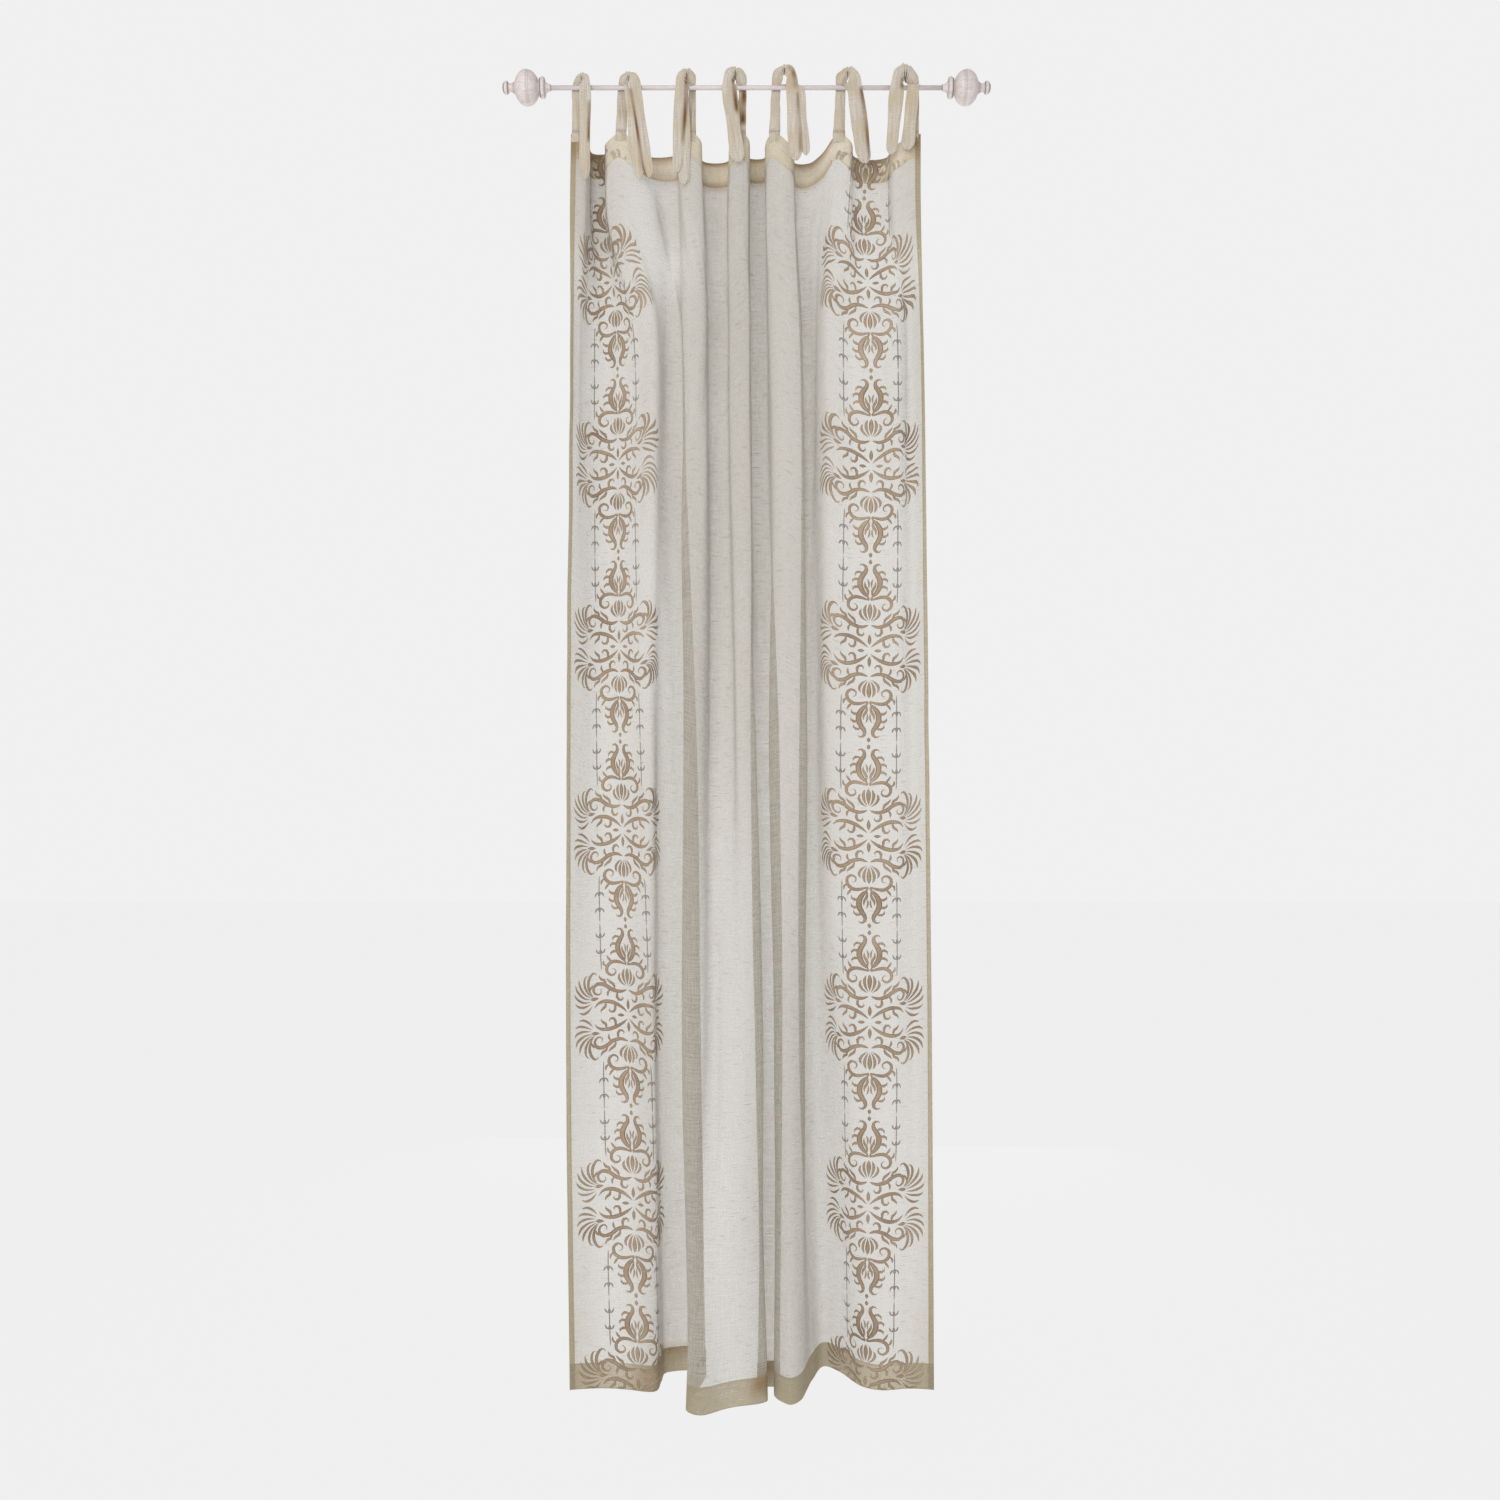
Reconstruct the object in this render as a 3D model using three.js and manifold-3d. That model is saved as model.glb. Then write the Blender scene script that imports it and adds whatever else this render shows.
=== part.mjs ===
// A tie-top sheer curtain on a thin rod with turned finials.
// Millimetres, +Z up. The origin is the middle of the rod's axis: +X runs along the rod to the
// viewer's right and +Y runs from the room towards the wall.
import * as THREE from "three";
import { mergeVertices } from "three/addons/utils/BufferGeometryUtils.js";
import Module from "manifold-3d";

const wasm = await Module();
wasm.setup();

// Driving sizes of the cloth
const FLAT_WIDTH = 1400;
const FLAT_DROP = 2703;
const NECK_HEIGHT = -97;
const HEADING_BAND = 54;
const FOOT_BAND = 55;
const SIDE_HEM = 11;
const CLOTH_THICK = 1.4;
const HEM_THICK = 2.4;
const HEM_STEP = 3;
const PANEL_COLUMNS = 104;
const ROWS_TO_BREAST = 5;
const ROWS_TO_FOOT = 14;

// Driving sizes of the rod and its finials
const ROD_RADIUS = 5;
const ROD_HALF = 436;
const TENON = 18;
const FIT_GAP = 0.4;
const ROUND_STEPS = 20;

// Driving sizes of the ties
const TAPE_THICK = 1.6;
const TAPE_LAP = 0.25;
const TAPE_CREASE = 1.6;
const TAPE_STEPS = 18;
const TIE_GAP = 0.6;
const TAIL_GAP = 2.5;
const TAIL_LEAN = 1;

// The seven ties from left to right. across is where the middle of the tape is sewn along the flat
// heading, rise its place behind the rod, width its width there, and crown how high the outer tape
// stands over the axis of the rod. Each tail has its place at the rod, its place and height at its
// free end, and its width at the rod and at the end.
const TIES = [
  { across: 15, rise: -364, width: 25, crown: 25,
    inner: { rod: -350, end: -348, foot: -190, wide: 18, narrow: 17 },
    outer: { rod: -346, end: -345, foot: -202, wide: 20, narrow: 18 } },
  { across: 243, rise: -268, width: 22, crown: 26,
    inner: { rod: -250, end: -229, foot: -200, wide: 26, narrow: 18 },
    outer: { rod: -240, end: -209, foot: -198, wide: 24, narrow: 24 } },
  { across: 472, rise: -117, width: 18, crown: 31,
    inner: { rod: -136, end: -134, foot: -213, wide: 25, narrow: 24 },
    outer: { rod: -139, end: -149, foot: -187, wide: 26, narrow: 18 } },
  { across: 700, rise: -9, width: 20, crown: 33,
    inner: { rod: -34, end: -21, foot: -158, wide: 26, narrow: 22 },
    outer: { rod: -38, end: -18, foot: -165, wide: 28, narrow: 26 } },
  { across: 928, rise: 64, width: 22, crown: 34,
    inner: { rod: 106, end: 128, foot: -149, wide: 26, narrow: 20 },
    outer: { rod: 98, end: 106, foot: -162, wide: 26, narrow: 25 } },
  { across: 1157, rise: 203, width: 24, crown: 32,
    inner: { rod: 228, end: 250, foot: -158, wide: 28, narrow: 26 },
    outer: { rod: 232, end: 254, foot: -168, wide: 30, narrow: 30 } },
  { across: 1385, rise: 362, width: 22, crown: 34,
    inner: { rod: 358, end: 345, foot: -137, wide: 26, narrow: 25 },
    outer: { rod: 323, end: 310, foot: -149, wide: 26, narrow: 23 } },
];

// How far the heading sags in the middle of each span between two ties
const SPAN_SAGS = [11, 25, 32, 17, 36, 35];

// Level cuts through the hanging cloth from the heading down to the foot. down is the distance below
// the heading's edge on the flat cloth, and each fold is [x, depth] along the cut from left to right.
const CUTS = [
  { name: "heading", down: 0, folds: [
    [-378, 6], [-346, 4], [-338, 78], [-312, 82], [-300, 6], [-238, 5], [-226, 57], [-160, 59],
    [-136, 7], [-100, 6], [-93, 73], [-43, 73], [-34, 8], [2, 8], [7, 90], [37, 90], [46, 7],
    [98, 7], [108, 72], [138, 72], [186, 8], [224, 5], [236, 49], [304, 49], [318, 6], [375, 6]] },
  { name: "shoulder", down: 153, folds: [
    [-380, 5], [-352, 4], [-336, 88], [-310, 90], [-292, 6], [-204, 7], [-176, 58], [-150, 61],
    [-136, 8], [-96, 5], [-86, 78], [-46, 78], [-37, 8], [1, 6], [6, 90], [39, 90], [47, 6],
    [102, 4], [111, 74], [130, 78], [192, 8], [220, 4], [240, 42], [306, 42], [322, 4], [375, 5]] },
  { name: "breast", down: 373, folds: [
    [-380, 3], [-316, 93], [-206, 4], [-172, 66], [-147, 70], [-133, 1], [-93, -2], [-81, 82],
    [-43, 82], [-34, 4], [3, 2], [9, 92], [43, 92], [54, 4], [113, 2], [121, 80], [137, 84],
    [177, 8], [265, 23], [324, 3], [356, 35], [380, 3]] },
  { name: "upper", down: 763, folds: [
    [-382, 0], [-311, 88], [-203, 2], [-172, 64], [-134, 78], [-136, -8], [-90, -12], [-77, 66],
    [-42, 66], [-30, 4], [8, -4], [12, 74], [47, 76], [62, -6], [121, -10], [123, 60],
    [140, 84], [176, 8], [267, 20], [326, 0], [360, 30], [386, 0]] },
  { name: "middle", down: 1323, folds: [
    [-387, 0], [-315, 72], [-208, 8], [-188, 52], [-112, 80], [-133, -30], [-122, -46],
    [-99, -38], [-84, -4], [-77, 20], [-60, 26], [-30, 14], [-17, -20], [20, -16], [10, 38],
    [36, 64], [71, 60], [48, -6], [82, -26], [114, -18], [130, -6], [117, 54], [150, 84],
    [180, 16], [258, 8], [326, 2], [361, 26], [392, 0]] },
  { name: "lower", down: 1993, folds: [
    [-388, 0], [-313, 42], [-263, 40], [-203, 4], [-188, 56], [-102, 76], [-135, -52],
    [-118, -72], [-96, -66], [-82, -42], [-68, -34], [-48, -48], [-14, -58], [35, -38], [19, 16],
    [46, 44], [76, 40], [59, -18], [86, -48], [112, -34], [125, -4], [117, 52], [155, 92],
    [193, 44], [229, 6], [263, 0], [328, 4], [365, 22], [399, 0]] },
  { name: "foot", down: 2703, folds: [
    [-380, 0], [-316, 8], [-261, 2], [-196, -8], [-186, 40], [-178, 84], [-92, 84],
    [-127, -94], [-96, -116], [-34, -82], [43, -50], [24, 4], [52, 14], [70, 10], [59, -24],
    [92, -68], [115, -48], [143, 50], [173, 116], [207, 88], [250, 18], [287, 0], [348, 6],
    [403, 0]] },
];

const FINISHES = {
  cloth: { color: 0xd6d1c8, roughness: 0.95, metalness: 0 },
  tape: { color: 0xc8bcb1, roughness: 0.95, metalness: 0 },
  paint: { color: 0xd6cdcc, roughness: 0.55, metalness: 0 },
};

const part = new THREE.Group();

function addPiece(name, geometry, finish, place = [0, 0, 0]) {
  const material = new THREE.MeshStandardMaterial(FINISHES[finish]);
  const mesh = new THREE.Mesh(geometry, material);
  mesh.name = name;
  mesh.position.set(...place);
  part.add(mesh);
}

// A smooth curve through values at given knots, for the run of a fold from cut to cut.
function throughKnots(knots, values, at) {
  const last = knots.length - 1;
  let i = 0;
  while (i < last - 1 && at > knots[i + 1]) i += 1;
  const step = knots[i + 1] - knots[i];
  const slope = (k) => {
    const low = Math.max(k - 1, 0);
    const high = Math.min(k + 1, last);
    return (values[high] - values[low]) / (knots[high] - knots[low]);
  };
  const t = (at - knots[i]) / step;
  const t2 = t * t;
  const t3 = t2 * t;
  return (2 * t3 - 3 * t2 + 1) * values[i] + (t3 - 2 * t2 + t) * step * slope(i)
    + (3 * t2 - 2 * t3) * values[i + 1] + (t3 - t2) * step * slope(i + 1);
}

// Each cut is one smooth line, measured along its own length, so the cloth keeps its width.
const CUT_KNOTS = CUTS.map((cut) => cut.down);
const CUT_LINES = CUTS.map((cut) => {
  const points = cut.folds.map(([x, depth]) => new THREE.Vector3(x, depth, 0));
  const line = new THREE.CatmullRomCurve3(points, false, "centripetal");
  line.arcLengthDivisions = 1200;
  return line;
});

// The height of the heading's edge: level at a tie, and sagging between two ties.
function headingHeight(across) {
  const span = TIES.findIndex((tie, i) => i > 0 && across < tie.across) - 1;
  if (span < 0 || across < TIES[0].across) return NECK_HEIGHT;
  const from = TIES[span].across;
  const to = TIES[span + 1].across;
  const share = (across - from) / (to - from);
  return NECK_HEIGHT - SPAN_SAGS[span] * Math.sin(Math.PI * share) ** 2;
}

// The middle of the cloth at a place on the flat panel, across from its left edge and down from
// its heading.
function clothPoint(across, down) {
  const inside = THREE.MathUtils.clamp(across / FLAT_WIDTH, 0, 1);
  const marks = CUT_LINES.map((line) => line.getPointAt(inside));
  const x = throughKnots(CUT_KNOTS, marks.map((mark) => mark.x), down);
  const depth = throughKnots(CUT_KNOTS, marks.map((mark) => mark.y), down);
  const top = headingHeight(across);
  const foot = NECK_HEIGHT - FLAT_DROP;
  return new THREE.Vector3(x, depth, top + (foot - top) * (down / FLAT_DROP));
}

// The direction that the cloth's back faces there.
function clothNormal(across, down) {
  const reach = 3;
  const left = clothPoint(Math.max(across - reach, 0), down);
  const right = clothPoint(Math.min(across + reach, FLAT_WIDTH), down);
  const above = clothPoint(across, Math.max(down - reach, 0));
  const below = clothPoint(across, Math.min(down + reach, FLAT_DROP));
  return right.sub(left).cross(above.sub(below)).normalize().negate();
}

// A closed sheet from a grid of places: a front skin, a back skin, and a rim that joins them.
function closedSheet(columns, rows, skinPoint) {
  const across = columns.length;
  const down = rows.length;
  const positions = [];
  for (const side of [-1, 1]) {
    for (const row of rows) {
      for (const column of columns) positions.push(...skinPoint(column, row, side).toArray());
    }
  }
  const faces = [];
  const quad = (a, b, c, d) => faces.push(a, b, c, a, c, d);
  const front = (i, j) => j * across + i;
  const back = (i, j) => across * down + front(i, j);
  for (let j = 0; j < down - 1; j += 1) {
    for (let i = 0; i < across - 1; i += 1) {
      quad(front(i, j), front(i, j + 1), front(i + 1, j + 1), front(i + 1, j));
      quad(back(i, j), back(i + 1, j), back(i + 1, j + 1), back(i, j + 1));
    }
    const end = across - 1;
    quad(front(0, j), back(0, j), back(0, j + 1), front(0, j + 1));
    quad(front(end, j), front(end, j + 1), back(end, j + 1), back(end, j));
  }
  for (let i = 0; i < across - 1; i += 1) {
    const foot = down - 1;
    quad(front(i, 0), front(i + 1, 0), back(i + 1, 0), back(i, 0));
    quad(front(i, foot), back(i, foot), back(i + 1, foot), front(i + 1, foot));
  }
  const geometry = new THREE.BufferGeometry();
  geometry.setAttribute("position", new THREE.Float32BufferAttribute(positions, 3));
  geometry.setIndex(faces);
  return geometry;
}

function evenSteps(from, to, count) {
  return Array.from({ length: count + 1 }, (_, i) => from + ((to - from) * i) / count);
}

function buildPanel() {
  const rightHem = FLAT_WIDTH - SIDE_HEM;
  const columns = [
    0,
    SIDE_HEM,
    ...evenSteps(SIDE_HEM + HEM_STEP, rightHem - HEM_STEP, PANEL_COLUMNS),
    rightHem,
    FLAT_WIDTH,
  ];
  const breast = CUTS[2].down;
  const footLine = FLAT_DROP - FOOT_BAND;
  const rows = [
    0,
    HEADING_BAND,
    ...evenSteps(HEADING_BAND + HEM_STEP, breast, ROWS_TO_BREAST),
    ...evenSteps(breast, footLine - HEM_STEP, ROWS_TO_FOOT).slice(1),
    footLine,
    FLAT_DROP,
  ];
  const isHem = (across, down) =>
    down <= HEADING_BAND || down >= footLine || across <= SIDE_HEM || across >= rightHem;
  const skinPoint = (across, down, side) => {
    const thick = isHem(across, down) ? HEM_THICK : CLOTH_THICK;
    return clothPoint(across, down).addScaledVector(clothNormal(across, down), (side * thick) / 2);
  };
  addPiece("curtain_panel", closedSheet(columns, rows, skinPoint), "cloth");
}

// One tape along a route of [x, depth, height, width] stations, creased along its middle.
function tapeGeometry(stations) {
  const route = new THREE.CatmullRomCurve3(
    stations.map(([x, depth, height]) => new THREE.Vector3(x, depth, height)), false, "centripetal");
  const marks = stations.map((_, i) => i / (stations.length - 1));
  const widths = stations.map((station) => station[3]);
  const skinPoint = (share, step, side) => {
    const along = new THREE.Vector3(0, route.getTangent(step).y, route.getTangent(step).z);
    const outward = along.cross(new THREE.Vector3(1, 0, 0)).normalize();
    const crease = TAPE_CREASE * (1 - Math.abs(share)) * Math.sin(Math.PI * step);
    const width = throughKnots(marks, widths, step);
    return route.getPoint(step)
      .add(new THREE.Vector3((share * width) / 2, 0, 0))
      .addScaledVector(outward, crease - (side * TAPE_THICK) / 2);
  };
  return closedSheet([-1, 0, 1], evenSteps(0, 1, TAPE_STEPS), skinPoint);
}

function solidOf(geometry) {
  const bare = new THREE.BufferGeometry();
  bare.setAttribute("position", geometry.getAttribute("position"));
  bare.setIndex(geometry.index);
  const merged = mergeVertices(bare);
  return new wasm.Manifold(new wasm.Mesh({
    numProp: 3,
    vertProperties: merged.attributes.position.array,
    triVerts: new Uint32Array(merged.index.array),
  }));
}

function geometryOf(solid) {
  const mesh = solid.getMesh();
  const geometry = new THREE.BufferGeometry();
  geometry.setAttribute("position", new THREE.BufferAttribute(mesh.vertProperties, 3));
  geometry.setIndex(new THREE.BufferAttribute(mesh.triVerts, 1));
  return geometry;
}

// The stations of one tape: up from the heading behind the rod, over it, and down at the front.
// bend holds how far behind the heading it is sewn, how far behind the rod it rises, how high it
// passes over the rod's axis, and how far in front of the rod it hangs.
function tapeStations(tie, neck, tail, bend) {
  const foot = NECK_HEIGHT + FIT_GAP;
  const over = (share) => THREE.MathUtils.lerp(tie.rise, tail.rod, share);
  const hang = (share) => THREE.MathUtils.lerp(tail.rod, tail.end, share);
  return [
    [neck.x, neck.y + bend.sewn, foot, tie.width],
    [(neck.x + tie.rise) / 2, bend.behind, foot / 2, tie.width],
    [tie.rise, bend.behind, 0, tie.width],
    [over(0.25), bend.behind * Math.SQRT1_2, bend.top * Math.SQRT1_2, tail.wide],
    [over(0.5), 0, bend.top, tail.wide],
    [over(0.75), -bend.front * Math.SQRT1_2, bend.top * Math.SQRT1_2, tail.wide],
    [tail.rod, -bend.front, 0, tail.wide],
    [hang(0.5), -bend.front - TAIL_LEAN / 2, tail.foot / 2, tail.wide],
    [tail.end, -bend.front - TAIL_LEAN, tail.foot, tail.narrow],
  ];
}

// A tie is two tapes laid on each other. They rise together from the heading behind the rod. The
// inner one bends close round the rod, the outer one stands over it, and both tails hang in front.
function buildTie(tie, index) {
  const neck = clothPoint(tie.across, 0);
  const close = ROD_RADIUS + TIE_GAP + TAPE_THICK / 2;
  const lap = TAPE_THICK - TAPE_LAP;
  const innerBend = { sewn: 1, behind: close, top: close, front: close };
  const outerBend = { sewn: 1 + lap, behind: close + lap, top: tie.crown, front: close + lap + TAIL_GAP };
  const inner = tapeGeometry(tapeStations(tie, neck, tie.inner, innerBend));
  const outer = tapeGeometry(tapeStations(tie, neck, tie.outer, outerBend));
  addPiece("tie_" + (index + 1), geometryOf(solidOf(inner).add(solidOf(outer))), "tape");
}

function buildRod() {
  const length = 2 * (ROD_HALF - FIT_GAP + TENON);
  const rod = new THREE.CylinderGeometry(ROD_RADIUS, ROD_RADIUS, length, ROUND_STEPS);
  rod.rotateZ(Math.PI / 2);
  addPiece("rod", rod, "paint");
}

// The turned profile of a finial, each row [distance outwards from the collar's inner face, radius].
// A blind bore takes the end of the rod, and the ball is a little flattened along the rod.
const BORE_RADIUS = ROD_RADIUS + FIT_GAP;
const BALL_RADIUS = 37;
const BALL_HALF_LENGTH = 27;
const BALL_MIDDLE = 36;
const WAIST_RADIUS = 12;
const SOCKET_PROFILE = [[TENON + FIT_GAP, 0], [TENON + FIT_GAP, BORE_RADIUS], [-15, BORE_RADIUS]];
const COLLAR_PROFILE = [[-15, 7], [-9, 8.5], [-3, 14], [-2, 20], [0, 22], [5, 22.5], [9, 20.5]];
const NECK_PROFILE = [[64, 12], [68, 9.5], [73, 9], [77, 11.5], [78, 13.5], [84, 13.2], [88, 9]];
const BALL_ARC_STEPS = 11;

function finialProfile() {
  const arc = [];
  for (let i = 1; i < BALL_ARC_STEPS; i += 1) {
    const turn = (Math.PI * i) / BALL_ARC_STEPS;
    const out = BALL_MIDDLE - BALL_HALF_LENGTH * Math.cos(turn);
    arc.push([out, Math.max(BALL_RADIUS * Math.sin(turn), WAIST_RADIUS)]);
  }
  const rows = [...SOCKET_PROFILE, ...COLLAR_PROFILE, ...arc, ...NECK_PROFILE, [89, 0]];
  return rows.map(([out, radius]) => new THREE.Vector2(radius, out));
}

function buildFinial(name, direction) {
  const turned = new THREE.LatheGeometry(finialProfile(), ROUND_STEPS);
  turned.rotateZ((-direction * Math.PI) / 2);
  addPiece(name, turned, "paint", [direction * ROD_HALF, 0, 0]);
}

buildPanel();
TIES.forEach(buildTie);
buildRod();
buildFinial("finial_left", -1);
buildFinial("finial_right", 1);

export default part;
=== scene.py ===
# %% [markdown]
# # A sheer curtain on its rod
# The real curtain is one length of slub voile. Its sides, head and foot are turned in as hems, both
# sides are embroidered, and seven ties of the same cloth hold it on a thin painted rod with turned
# finials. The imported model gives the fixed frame: the sizes, the hang of the folds and the ties.
# This lesson dresses that frame piece by piece, so every table below is in the frame's own place.

# %% Load the fixed frame and keep its box
import math

import bmesh
import bpy
import numpy as np
from mathutils import Matrix, Vector, noise


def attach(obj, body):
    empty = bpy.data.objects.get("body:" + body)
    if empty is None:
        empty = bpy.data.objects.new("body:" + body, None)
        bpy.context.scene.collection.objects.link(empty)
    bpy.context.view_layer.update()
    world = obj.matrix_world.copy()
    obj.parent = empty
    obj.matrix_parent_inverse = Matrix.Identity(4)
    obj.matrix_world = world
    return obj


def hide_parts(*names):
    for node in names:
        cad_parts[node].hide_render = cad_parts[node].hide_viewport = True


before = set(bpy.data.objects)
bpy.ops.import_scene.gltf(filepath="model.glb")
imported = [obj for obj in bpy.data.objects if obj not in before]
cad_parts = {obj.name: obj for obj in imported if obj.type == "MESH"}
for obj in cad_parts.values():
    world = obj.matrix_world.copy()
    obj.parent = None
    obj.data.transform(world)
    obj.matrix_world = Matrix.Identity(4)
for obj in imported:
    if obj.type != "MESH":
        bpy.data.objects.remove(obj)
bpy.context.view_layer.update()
MM = 0.001
scene = bpy.context.scene

# %% [markdown]
# ## The camera
# The photograph was taken straight on, level with the middle of the curtain, so the heading is seen
# from a little below and the hem from a little above. The focal length in pixels is turned into a
# lens for a 36 mm sensor, as a photographer would name it.

# %% Camera
PHOTO_SIDE = 1500
FOCAL_PIXELS = 1395
SENSOR = 36
CAMERA_PLACE = (0.0075, -3.0, -1.424)

camera_data = bpy.data.cameras.new("camera")
camera_data.sensor_width = SENSOR
camera_data.lens = FOCAL_PIXELS / PHOTO_SIDE * SENSOR
camera = bpy.data.objects.new("camera", camera_data)
camera.location = CAMERA_PLACE
camera.rotation_euler = (math.pi / 2, 0, 0)
scene.collection.objects.link(camera)
scene.camera = camera
print("lens:", round(camera_data.lens, 2), "mm")

# %% [markdown]
# ## Helpers for materials
# Colours are written as the hex values that a paint card gives, and one function turns them to the
# linear values that Blender mixes. One more function adds a node with its settings and its links,
# and gives the output that the next node needs.

# %% Colour and node helpers
def linear(card):
    """A hex colour, as linear red, green, blue and alpha."""
    shares = [int(card[i:i + 2], 16) / 255 for i in (1, 3, 5)]
    return (*[s / 12.92 if s <= 0.04045 else ((s + 0.055) / 1.055) ** 2.4 for s in shares], 1.0)


def add(tree, kind, inputs=None, out=0, stops=(), **settings):
    """Adds a node and gives one of its outputs. An input that is given a socket is linked, and any
    other value is set on it. The stops are a colour ramp's places, each with its hex colour."""
    made = tree.nodes.new("ShaderNode" + kind)
    for name, value in settings.items():
        setattr(made, name, value)
    for name, value in (inputs or {}).items():
        if isinstance(value, bpy.types.NodeSocket):
            tree.links.new(value, made.inputs[name])
        else:
            made.inputs[name].default_value = value
    if stops:
        while len(made.color_ramp.elements) < len(stops):
            made.color_ramp.elements.new(0.5)
        for element, (place, card) in zip(made.color_ramp.elements, stops):
            element.position = place
            element.color = linear(card)
    return made.outputs[out] if len(made.outputs) else None


def new_material(name):
    """An empty node material, and its tree."""
    material = bpy.data.materials.new(name)
    material.use_nodes = True
    material.node_tree.nodes.clear()
    return material, material.node_tree


def mesh_from(name, bm):
    """A mesh that takes over a finished bmesh."""
    mesh = bpy.data.meshes.new(name)
    bm.to_mesh(mesh)
    bm.free()
    return mesh


print("white paper is", [round(v, 3) for v in linear("#f0f0f0")[:3]])

# %% [markdown]
# ## Studio
# The photograph has a plain pale ground and soft light from the front and a little from the left, so
# that the walls of the folds, which face sideways, go a little darker. A big area light does that.
# A second one stands for the pale wall behind, which sends light back through the cloth, and a pale
# world fills the rest. The world and the floor glow with the ground's own grey, so that no line
# shows where they meet. Only a small part of the floor is a matt surface that takes a shadow.

# %% World, light and floor
GROUND_GREY = "#f0f0f0"
# The fill stands for the pale room, and each lamp is its name, watts, side and place in metres
FILL_COLOUR = "#f6f6fa"
FILL_STRENGTH = 0.64
LAMPS = [
    ("key", 64, 2.2, (-1.0, -3.3, -0.1)),
    ("rear", 46, 2.6, (0.2, 3.0, -1.9)),
]
FLOOR_HEIGHT = -3.06
FLOOR_SIDE = 24
FLOOR_GLOW = 0.97
SHEER_BOUNCES = 40
CURTAIN_MIDDLE = (0, 0, -1.4)

world = bpy.data.worlds.new("studio")
world.use_nodes = True
sky = world.node_tree
sky.nodes.clear()
seen = add(sky, "Background", {"Color": linear(GROUND_GREY), "Strength": 1.0})
fill = add(sky, "Background", {"Color": linear(FILL_COLOUR), "Strength": FILL_STRENGTH})
to_camera = add(sky, "LightPath", out="Is Camera Ray")
add(sky, "OutputWorld", {"Surface": add(sky, "MixShader", {0: to_camera, 1: fill, 2: seen})})
scene.world = world
scene.view_settings.view_transform = "Standard"
scene.cycles.transparent_max_bounces = SHEER_BOUNCES

for name, watts, side, place in LAMPS:
    lamp_data = bpy.data.lights.new(name, "AREA")
    lamp_data.energy = watts
    lamp_data.size = side
    lamp = bpy.data.objects.new(name, lamp_data)
    lamp.location = place
    lamp.rotation_euler = (Vector(CURTAIN_MIDDLE) - Vector(place)).to_track_quat("-Z", "Y").to_euler()
    lamp.visible_camera = False
    scene.collection.objects.link(lamp)

floor_bm = bmesh.new()
bmesh.ops.create_grid(floor_bm, x_segments=1, y_segments=1, size=FLOOR_SIDE / 2)
bmesh.ops.translate(floor_bm, verts=floor_bm.verts, vec=(0, 0, FLOOR_HEIGHT))
floor_mesh = mesh_from("floor", floor_bm)
floor = bpy.data.objects.new("floor", floor_mesh)
scene.collection.objects.link(floor)
paper, tree = new_material("matt_paper_floor")
glow = add(tree, "Emission", {"Color": linear(GROUND_GREY), "Strength": 1.0})
matt = add(tree, "BsdfDiffuse", {"Color": linear("#e9e9e9")})
add(tree, "OutputMaterial", {"Surface": add(tree, "MixShader", {0: FLOOR_GLOW, 1: matt, 2: glow})})
floor_mesh.materials.append(paper)
print("floor at", FLOOR_HEIGHT, "m")

# %% [markdown]
# ## Sheer voile
# The cloth is a plain weave of thin slub yarns, cotton or linen, with gaps between the yarns about
# as wide as the yarns. It scatters what light meets a yarn, some of it through to the other side,
# and lets the rest pass. So its shader is a mix: a transparent part for the gaps, and a diffuse
# and a translucent part for the yarns. Hems lie in several layers and close the gaps by
# themselves. A wall of a fold, which turns away from the panel's front, is passed on a longer
# slanting way, so it closes the gaps too: one attribute of the mesh says how steeply each place is
# turned. Another says how closely the folds stand round it and closes the gaps more there, as
# painted shade among close folds. Yarns lie about 0.7 mm apart, too fine to show, so what is drawn
# is their unevenness, coarser than life: long thick and thin places of the upright and level
# yarns, and short dark slubs. The pattern follows the flat cloth through its own UV map. Other
# attributes say where age has stained it, where the heading is, which is painted lighter as
# painted light, the top being lit more, and where the cloth is hemmed, which is closed more and
# painted darker and warmer as painted shade.

# %% Voile material
YARN_SHARE = 0.30
UNEVEN_SHARE = 0.62
HEM_SHARE = 0.08
STAIN_SHARE = 0.10
SLUB_SHARE = 0.10
LEAST_SHARE, MOST_SHARE = 0.02, 0.95
STEEP_PULL = 0.26
FOLD_SHADE_PULL = 0.55
SLUB_WIDE = 3.0
SLUB_LONG = 55


def slub_streaks(tree, place, across_mm, down_mm, detail):
    """Noise drawn out to streaks of that size on the flat cloth, from 0 to 1."""
    drawn = add(tree, "Mapping", {"Vector": place, "Scale": (1 / (across_mm * MM), 1 / (down_mm * MM), 1)})
    return add(tree, "TexNoise", {"Vector": drawn, "Scale": 1.0, "Detail": detail})


def summed(tree, total, parts):
    """A number, with each (socket, share) multiplied and added to it in turn."""
    for socket, share in parts:
        total = add(tree, "Math", {0: socket, 1: share, 2: total}, operation="MULTIPLY_ADD")
    return total


def coloured(tree, colour, layers):
    """A colour, and over it each (amount, share, hex colour) in turn."""
    for amount, share, card in layers:
        part = add(tree, "Math", {0: amount, 1: share}, operation="MULTIPLY", use_clamp=True)
        mixed = {"Factor": part, 6: colour, 7: linear(card)}
        colour = add(tree, "Mix", mixed, out=2, data_type="RGBA")
    return colour


def yarn_surface(tree, colour, yarns, passed):
    """Yarns that scatter light back and pass a share of it on."""
    bump = add(tree, "Bump", {"Height": yarns, "Strength": 0.3, "Distance": 0.0006})
    front = add(tree, "BsdfDiffuse", {"Color": colour, "Normal": bump, "Roughness": 0.6})
    through = add(tree, "BsdfTranslucent", {"Color": colour, "Normal": bump})
    return add(tree, "MixShader", {0: passed, 1: front, 2: through})


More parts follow.
